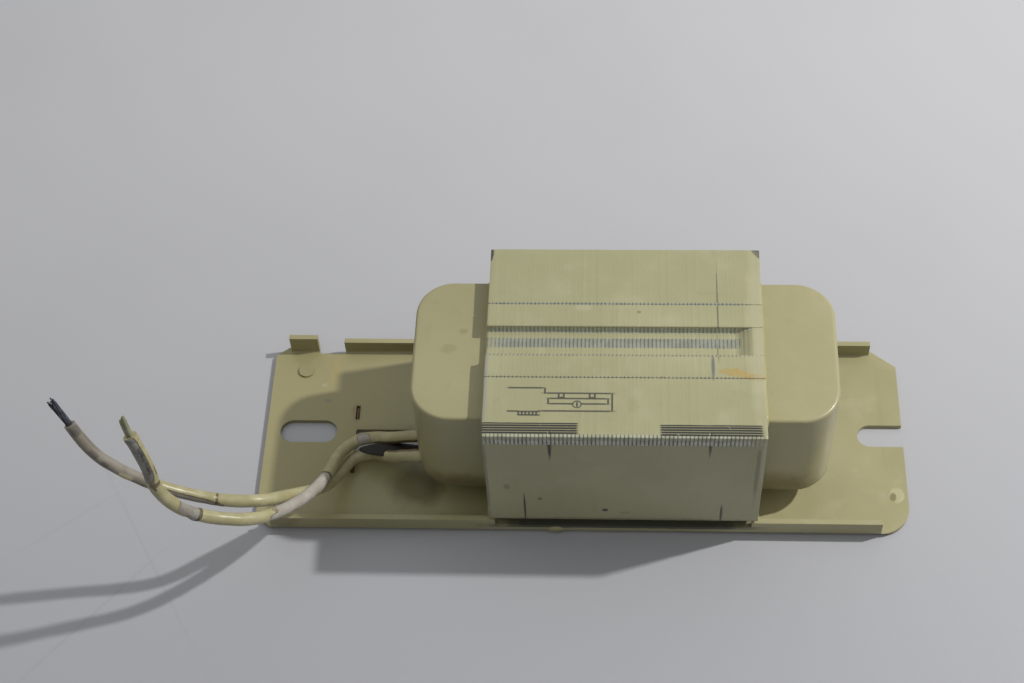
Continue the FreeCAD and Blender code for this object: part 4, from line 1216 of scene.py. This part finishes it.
@dataclass
class Lead:
    """A single-core lead: its route, its peeled places, one of them a painted highlight, and the bared
    strands at its end.
    """

    name: str
    node: str
    strand_node: str
    route: list[Point]
    tip: Point
    peels_and_glint: tuple[Patch, ...]
    greys: tuple[Patch, ...]
    stains: tuple[Patch, ...]
    lumps: tuple[Patch, ...]
    seed: int
    bared: Bared
    keeps: tuple[Patch, ...] = ()
    radius: float = 1.15
    sides: int = 44
    count: int = 330
    strand_sides: int = 9
    strand_count: int = 34
    strand_from: int = -14
    film: float = 0.1
    lump: float = 0.28
    ripple: float = 0.025
    swell: float = 0.02
    stain: float = 1.6
    crease: float = 60.0
    lean: Point = (0.224, -0.492, 0.84)

    def wrapped(self, patches: tuple[Patch, ...], along: np.ndarray, angle: np.ndarray) -> np.ndarray:
        """Largest value of any patch: its amount inside it, falling past its border.

        Inside, a patch counts 1 less the distance from its middle over its half sizes, taken
        with fourth powers so that a patch has nearly straight sides.
        """
        total = np.full(along.shape, -1.0)
        for patch in patches:
            turn = (angle - math.radians(patch.angle) + np.pi) % (2 * np.pi) - np.pi
            across = turn / math.radians(patch.width)
            reach = (((along - patch.along) / patch.length) ** 4 + across ** 4) ** 0.25
            total = np.maximum(total, patch.amount * (1.0 - reach))
        return np.clip(total, -1.0, 1.0)

    def flat(self, patches: tuple[Patch, ...], along: np.ndarray, angle: np.ndarray) -> np.ndarray:
        """Largest amount of any patch, even inside it and eased at its border."""
        total = np.zeros(along.shape)
        for patch in patches:
            inside = self.wrapped((replace(patch, amount=1.0),), along, angle)
            total = np.maximum(total, patch.amount * step(inside, 0.0, 0.3))
        return total

    def shape(self, line: np.ndarray) -> bpy.types.Object:
        """Uneven tube along the line, thinner where the varnish has peeled and at the painted highlight's
        bare patch.
        """
        face, side = crossways(line, self.lean)
        angles = np.linspace(-np.pi, np.pi, self.sides, endpoint=False)
        along, angle = np.meshgrid(spans(line), angles, indexing="ij")
        ring = np.cos(angle)[..., None] * face[:, None, :] + np.sin(angle)[..., None] * side[:, None, :]
        base = line[:, None, :] + ring * self.radius
        peel = self.wrapped(self.peels_and_glint, along, angle)
        lump = np.maximum(self.wrapped(self.lumps, along, angle), 0.0)
        peel = peel - 2.0 * np.maximum(self.wrapped(self.keeps, along, angle), 0.0)
        bare = step(peel, -0.05, 0.1)
        radius = self.radius - self.film * bare + self.ripple * wavy(base, 2.6, self.seed)
        radius += self.swell * wavy(base, 7.0, self.seed + 1) + self.lump * lump
        fields = {
            "peel": peel,
            "grey": self.flat(self.greys, along, angle),
            "stain": np.maximum(self.wrapped(self.stains, along, angle), 0.0) * self.stain,
        }
        grid = line[:, None, :] + ring * radius[..., None]
        return skin(self.name, grid, ring=True, caps=True, fields=fields, crease=self.crease)

    def strands(self, line: np.ndarray) -> bpy.types.Object:
        """Bared end: a twisted bundle that opens out, or wires stiff with varnish."""
        tip = np.array(self.tip)
        rng = np.random.default_rng(self.seed)
        guide = (line[self.strand_from], line[-1], (line[-1] + tip) / 2, tip)
        middle = smooth_line("strand_line", [tuple(point * MM) for point in guide], self.strand_count)
        share = np.linspace(0.0, 1.0, len(middle))
        face, side = crossways(middle, self.lean)
        pieces = []
        for index in range(self.bared.wires):
            phase = 2 * np.pi * index / (self.bared.wires - 1)
            hub = 0.0 if index == self.bared.wires - 1 else self.bared.bundle
            spread = hub * (1.0 + self.bared.opens * rng.uniform(0.2, 1.0) * step(share, 0.55, 1.0))
            twist = phase + self.bared.twist * share
            offset = (np.cos(twist) * spread)[:, None] * face + (np.sin(twist) * spread)[:, None] * side
            keep = int(len(middle) * rng.uniform(0.93, 1.0)) if index else len(middle)
            taper = self.bared.thick * (1.0 - 0.25 * step(np.linspace(0.0, 1.0, keep), 0.9, 1.0))
            path = (middle + offset)[:keep]
            pieces.append(tube(f"{self.name}_strand", path, taper, self.strand_sides))
        return joined(self.name + "_strands", pieces)

    def build(self, finish: bpy.types.Material, strand_finish: bpy.types.Material) -> None:
        line = smooth_line(self.name + "_line", self.route, self.count)
        piece = self.shape(line)
        bared = self.strands(line)
        dress(piece, finish, "lead_jacket", self.node)
        dress(bared, strand_finish, "strands", self.strand_node)


def joined(name: str, pieces: list[bpy.types.Object]) -> bpy.types.Object:
    """Puts several pieces into the mesh of one, keeping their places."""
    work = bmesh.new()
    for piece in pieces:
        work.from_mesh(piece.data)
        old = piece.data
        bpy.data.objects.remove(piece)
        bpy.data.meshes.remove(old)
    mesh = bpy.data.meshes.new(name)
    work.to_mesh(mesh)
    work.free()
    soften(mesh, STRAND_CREASE)
    return placed(name, mesh)


@dataclass
class LeadPair:
    """The two leads that leave the left cover together."""

    short_route: list[Point] = field(default_factory=lambda: [
        (-0.0277, -0.005422, 0.0094), (-0.0316, -0.005422, 0.0094), (-0.0358, -0.0040, 0.0062),
        (-0.0392, -0.0027, 0.0046), (-0.0432, -0.0034, 0.0042), (-0.0457, -0.0080, 0.0062),
        (-0.0462, -0.0132, 0.0092), (-0.0475, -0.0185, 0.0125), (-0.0501, -0.0236, 0.0156),
        (-0.0536, -0.0282, 0.0190), (-0.0575, -0.0316, 0.0227), (-0.0634, -0.0331, 0.0261),
        (-0.0676, -0.0341, 0.0308), (-0.0704, -0.0341, 0.0372), (-0.0704, -0.0334, 0.0436),
        (-0.0724, -0.0316, 0.0496)])
    long_route: list[Point] = field(default_factory=lambda: [
        (-0.0277, -0.009622, 0.0094), (-0.0316, -0.009622, 0.0094), (-0.0358, -0.0076, 0.0054),
        (-0.0390, -0.0055, 0.0034), (-0.0430, -0.0059, 0.0026), (-0.0450, -0.0100, 0.0039),
        (-0.0466, -0.0150, 0.0071), (-0.0496, -0.0188, 0.0110), (-0.0525, -0.0224, 0.0156),
        (-0.0555, -0.0262, 0.0202), (-0.0617, -0.0272, 0.0217), (-0.0677, -0.0274, 0.0239),
        (-0.0733, -0.0276, 0.0276), (-0.0778, -0.0275, 0.0316), (-0.0828, -0.0266, 0.0365),
        (-0.0855, -0.0243, 0.0416)])

    def build(self) -> None:
        """Builds both leads, each with its own finish."""
        finish = LeadFinish("short_lead_finish").material()
        dirty = LeadFinish("long_lead_finish", jacket=(130, 122, 111),
                           jacket_pale=(144, 137, 127)).material()
        frayed = Wire("frayed_strands", (92, 94, 106), (42, 44, 56), 0.7, 0.36, 0.9).material()
        coated = Varnish("coated_strands", (166, 160, 124), (186, 182, 150), (128, 128, 104),
                         roughness=0.42).material()
        short = Lead(
            "short_lead_skin", "short_lead", "short_lead_strands", self.short_route, (-73.3, -30.2, 53.4),
            # The last patch, at 15 mm, bares the pale jacket as a painted highlight.
            peels_and_glint=(Patch(39.3, 10.0, 8.6, 100.0), Patch(45.8, -60.0, 3.6, 60.0),
                   Patch(65.6, 40.0, 2.7, 80.0), Patch(64.5, -40.0, 1.3, 70.0),
                   Patch(82.4, -32.0, 5.5, 58.0), Patch(15.0, 0.0, 1.5, 45.0)),
            greys=(Patch(83.0, -30.0, 7.0, 90.0, 0.5), Patch(82.0, 4.0, 3.8, 24.0, 0.95),
                   Patch(65.4, 20.0, 3.6, 150.0, 0.3), Patch(87.0, 0.0, 1.1, 200.0, 0.6)),
            stains=(Patch(76.1, 10.0, 0.8, 80.0), Patch(75.2, -14.0, 0.7, 16.0),
                    Patch(63.2, 0.0, 0.45, 170.0), Patch(79.2, 62.0, 1.6, 12.0),
                    Patch(30.6, 0.0, 0.35, 170.0, 0.8), Patch(7.0, -80.0, 8.0, 60.0)),
            lumps=(Patch(70.4, -20.0, 4.6, 80.0, 0.5), Patch(63.8, -100.0, 0.9, 26.0),
                   Patch(86.6, 0.0, 0.8, 200.0, 0.5), Patch(48.0, 0.0, 0.7, 120.0, 0.5),
                   Patch(15.5, 20.0, 2.4, 80.0)),
            seed=5, bared=COATED)
        long = Lead(
            "long_lead_skin", "long_lead", "long_lead_strands", self.long_route, (-88.2, -22.4, 46.2),
            peels_and_glint=(Patch(77.9, 0.0, 10.8, 900.0), Patch(62.4, -84.0, 7.6, 74.0)),
            greys=(Patch(84.8, 10.0, 1.2, 60.0, 0.6), Patch(79.4, -16.0, 1.1, 30.0, 0.45),
                   Patch(76.7, -30.0, 0.8, 26.0, 0.6), Patch(82.0, 50.0, 4.0, 16.0, 0.3)),
            stains=(Patch(55.6, 0.0, 0.4, 150.0, 0.7), Patch(69.0, -66.0, 0.5, 20.0),
                    Patch(6.0, 80.0, 8.0, 60.0)),
            lumps=(Patch(72.6, -66.0, 1.3, 22.0, 0.5), Patch(56.3, 0.0, 0.8, 120.0, 0.4),
                   Patch(45.0, 0.0, 0.9, 100.0, 0.3), Patch(14.0, 60.0, 3.0, 90.0)),
            keeps=(Patch(72.6, -44.0, 1.9, 26.0),),
            seed=8, bared=FRAYED)
        short.build(finish, coated)
        long.build(dirty, frayed)


@dataclass
class CoilParts:
    """The parts under the covers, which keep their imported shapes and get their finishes."""

    finishes: dict[str, object] = field(default_factory=lambda: {
        "air_gap_strip": Laid("strip_pressboard", (150, 116, 74), (176, 146, 104)),
        "coil_former": Laid("former_moulding", (196, 190, 176), (214, 210, 198), (1.0, 1.0, 5.0), 0.9, 0.4),
        "winding": WoundWire("winding_wire"),
        "winding_wrap": Laid("wrap_tape", (186, 160, 96), (206, 184, 126), (1.0, 1.0, 9.0), 0.7, 0.35),
        "short_lead_crimp": Wire("short_crimp_tin", (188, 186, 180), (132, 130, 126)),
        "long_lead_crimp": Wire("long_crimp_tin", (188, 186, 180), (132, 130, 126)),
    })

    def build(self) -> None:
        """Assigns each node's finish."""
        for node, finish in self.finishes.items():
            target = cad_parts[node]
            target.data.materials.clear()
            target.data.materials.append(finish.material())
            LOG.info("%s: finished", node)


@dataclass
class Beads:
    """Varnish that dried in the corners: beside the core and under it."""

    core_left: float = -16.6
    core_right: float = 32.4
    spacing: float = 0.7
    sides: int = 12
    off: float = 0.12
    wander: float = 0.33

    def line(self, corners: list[Point]) -> np.ndarray:
        """Divides a run of straight pieces into steps of about the spacing."""
        points = np.array(corners)
        parts = []
        for start, end in zip(points[:-1], points[1:]):
            count = max(2, int(np.linalg.norm(end - start) / self.spacing))
            parts.append(start + np.linspace(0.0, 1.0, count, endpoint=False)[:, None] * (end - start))
        return np.concatenate(parts + [points[-1:]])

    def bead(self, name: str, corners: list[Point], radius: float, seed: int,
             lean: Point) -> bpy.types.Object:
        """Tube whose radius wanders by a third, so that its half buried side reads as a fillet."""
        line = self.line(corners)
        ends = np.minimum(np.arange(len(line)), np.arange(len(line))[::-1]) / 3.0
        eased = np.sqrt(np.clip(ends + 0.15, 0.0, 1.0))
        width = radius * (1.0 + self.wander * wavy(line, 6.0, seed)) * eased
        return tube(name, line, width, self.sides, lean)

    def build(self) -> None:
        """Builds and dresses every bead."""
        # The beads are painted paler than the varnish beside them: a painted highlight on the concave
        # fillets.
        finish = Varnish("bead_varnish_painted_sheen", (182, 174, 130), (190, 183, 142), (166, 158, 112)).material()
        for name, x, side, seed in (("left", self.core_left, -1.0, 3), ("right", self.core_right, 1.0, 4)):
            inset = x + side * self.off
            corners = [(inset, -15.0, 6.6), (inset, -15.05, 29.4), (inset, -14.4, 30.0),
                       (inset, 14.4, 30.0), (inset, 15.05, 29.4), (inset, 15.0, 6.6)]
            dress(self.bead(name + "_cover_bead", corners, 0.42, seed, (1.0, 0.05, 0.02)), finish, "cover")
            foot = [(inset, -18.4, 1.15), (inset, 18.4, 1.15)]
            dress(self.bead(name + "_foot_bead", foot, 0.62, seed + 4, (0.0, 0.1, 1.0)), finish,
                  "varnished_steel")


@dataclass
class Drips:
    """Varnish that bridged a gap or hung and dried: between the leads, in the slits, on the cover; the web
    between the leads is near black, painted shade of the hollow under the coil.
    """

    rows: int = 13
    columns: int = 24
    swell: float = 0.06
    pitch: float = 3.0
    seed: int = 51

    def lens(self, name: str, centre: Point, reach: Point) -> bpy.types.Object:
        """Closed ellipsoid with a seeded unevenness: poles up and down, its half sizes in reach."""
        rise = np.linspace(-np.pi / 2, np.pi / 2, self.rows)[:, None]
        turn = np.linspace(0.0, 2.0 * np.pi, self.columns, endpoint=False)[None, :]
        ball = np.stack([np.cos(rise) * np.cos(turn), np.cos(rise) * np.sin(turn),
                         np.sin(rise) + 0.0 * turn], axis=-1)
        grid = np.array(centre) + ball * np.array(reach)
        grid += self.swell * ball * wavy(grid, self.pitch, self.seed)[..., None]
        return skin(name, grid, ring=True)

    def build(self) -> None:
        """Builds and dresses each of them."""
        # The lead web is partly real varnish; its near-black tone is painted shade.
        brown = Varnish("web_varnish_painted_shade", (24, 18, 9), (48, 38, 22), (18, 14, 8), roughness=0.62,
                        coat=0.0).material()
        rust = Varnish("slit_varnish", (98, 70, 36), (128, 98, 58), (76, 52, 28)).material()
        cream = Varnish("drip_varnish", (168, 162, 124), (178, 172, 138), (158, 151, 113)).material()
        dress(self.lens("lead_web", (-35.2, -6.35, 5.9), (6.6, 1.5, 0.4)), brown, "cover")
        for name, y in (("back", 5.15), ("front", -6.95)):
            dress(self.lens(name + "_slit_web", (-43.4, y, 0.55), (0.44, 1.66, 0.3)), rust, "varnished_steel")
        dress(self.lens("cover_drip", (45.6, 10.3, 11.2), (1.7, 3.4, 4.2)), cream, "cover")
        dress(self.lens("edge_drip", (-4.4, -20.35, 1.5), (1.6, 0.5, 0.9)), cream, "varnished_steel")


@dataclass
class Studio:
    """Camera at the photograph's angle, one lamp from the right and back, and a soft surround."""

    lens: float = 66.17
    sensor: float = 36.0
    nearest: float = 0.01
    camera_place: Point = (0.005903, -0.193746, 0.304909)
    camera_turn: Point = (0.61888, 0.04006, 0.03630)
    lamp_way: Point = (0.879, 0.217, 1.0)
    lamp_far: float = 0.65
    lamp_size: float = 0.022
    lamp_power: float = 2.97
    lamp_colour: Point = (1.0, 0.985, 0.95)
    low_colour: tuple[float, ...] = (1.0, 0.97, 0.82, 1.0)
    overhead_colour: tuple[float, ...] = (0.95, 0.975, 1.0, 1.0)
    plain_colour: tuple[float, ...] = (0.72, 0.73, 0.76, 1.0)
    overhead_sky: float = 0.64
    back_sky: float = 0.42
    front_sky: float = 0.07
    floor_half: float = 1500.0

    def camera(self) -> None:
        """Sets the camera."""
        data = bpy.data.cameras.new("photo_camera")
        data.lens = self.lens
        data.sensor_width = self.sensor
        data.clip_start = self.nearest
        camera = placed("photo_camera", data)
        camera.location = self.camera_place
        camera.rotation_euler = self.camera_turn
        bpy.context.scene.camera = camera

    def lamp(self) -> None:
        """Places the lamp and turns it to the object."""
        data = bpy.data.lights.new("bench_lamp", "AREA")
        data.shape = "DISK"
        data.size = self.lamp_size
        data.energy = self.lamp_power
        data.color = self.lamp_colour
        lamp = placed("bench_lamp", data)
        way = Vector(self.lamp_way).normalized()
        lamp.location = way * self.lamp_far
        lamp.rotation_euler = way.to_track_quat("Z", "Y").to_euler()

    def surround(self) -> None:
        """Lights the scene from all round, brighter from the back; a plain pale ground behind it."""
        world = bpy.data.worlds.new("soft_surround")
        world.use_nodes = True
        bpy.context.scene.world = world
        nodes = Nodes(world.node_tree)
        way = nodes.add("ShaderNodeTexCoord").outputs["Generated"]
        parts = nodes.add("ShaderNodeSeparateXYZ", None, {0: Signal(nodes, way)})
        toward_back = Signal(nodes, parts.outputs[1]).ramp(-0.9, 0.9)
        upward = Signal(nodes, parts.outputs[2]).ramp(0.2, 0.95)
        level = nodes.blend(toward_back, self.front_sky, self.back_sky)
        strength = nodes.blend(upward, level, self.overhead_sky)
        colour = nodes.mix(upward, self.low_colour, self.overhead_colour)
        light = nodes.add("ShaderNodeBackground", None, {"Color": colour, "Strength": strength})
        seen = nodes.add("ShaderNodeBackground", None, {"Color": self.plain_colour, "Strength": 1.0})
        path = nodes.add("ShaderNodeLightPath")
        through = Signal(nodes, path.outputs["Is Transmission Ray"])
        plain = Signal(nodes, path.outputs["Is Camera Ray"]).largest(through)
        chosen = nodes.add("ShaderNodeMixShader", None, {
            0: plain, 1: Signal(nodes, light.outputs[0]), 2: Signal(nodes, seen.outputs[0])})
        nodes.add("ShaderNodeOutputWorld", None, {0: Signal(nodes, chosen.outputs[0])})

    def floor(self) -> None:
        """Lays the bench top under the object."""
        half = self.floor_half
        sides = np.linspace(-half, half, 3)
        y, x = np.meshgrid(sides, sides, indexing="ij")
        floor = skin("bench", np.stack([x, y, np.zeros_like(x)], axis=-1))
        floor.data.materials.append(Bench().material())

    def build(self) -> None:
        """Builds the whole set."""
        bpy.context.scene.view_settings.view_transform = "Standard"
        self.camera()
        self.lamp()
        self.surround()
        self.floor()


def main() -> None:
    """Builds the set and each sub-assembly in order."""
    logging.basicConfig(level=logging.INFO, format="%(message)s")
    Studio().build()
    LeadPair().build()
    BasePlate().build()
    CoreStack().build()
    for cover in end_covers():
        cover.build()
    Beads().build()
    Drips().build()
    CoilParts().build()


if __name__ == "__main__":
    main()
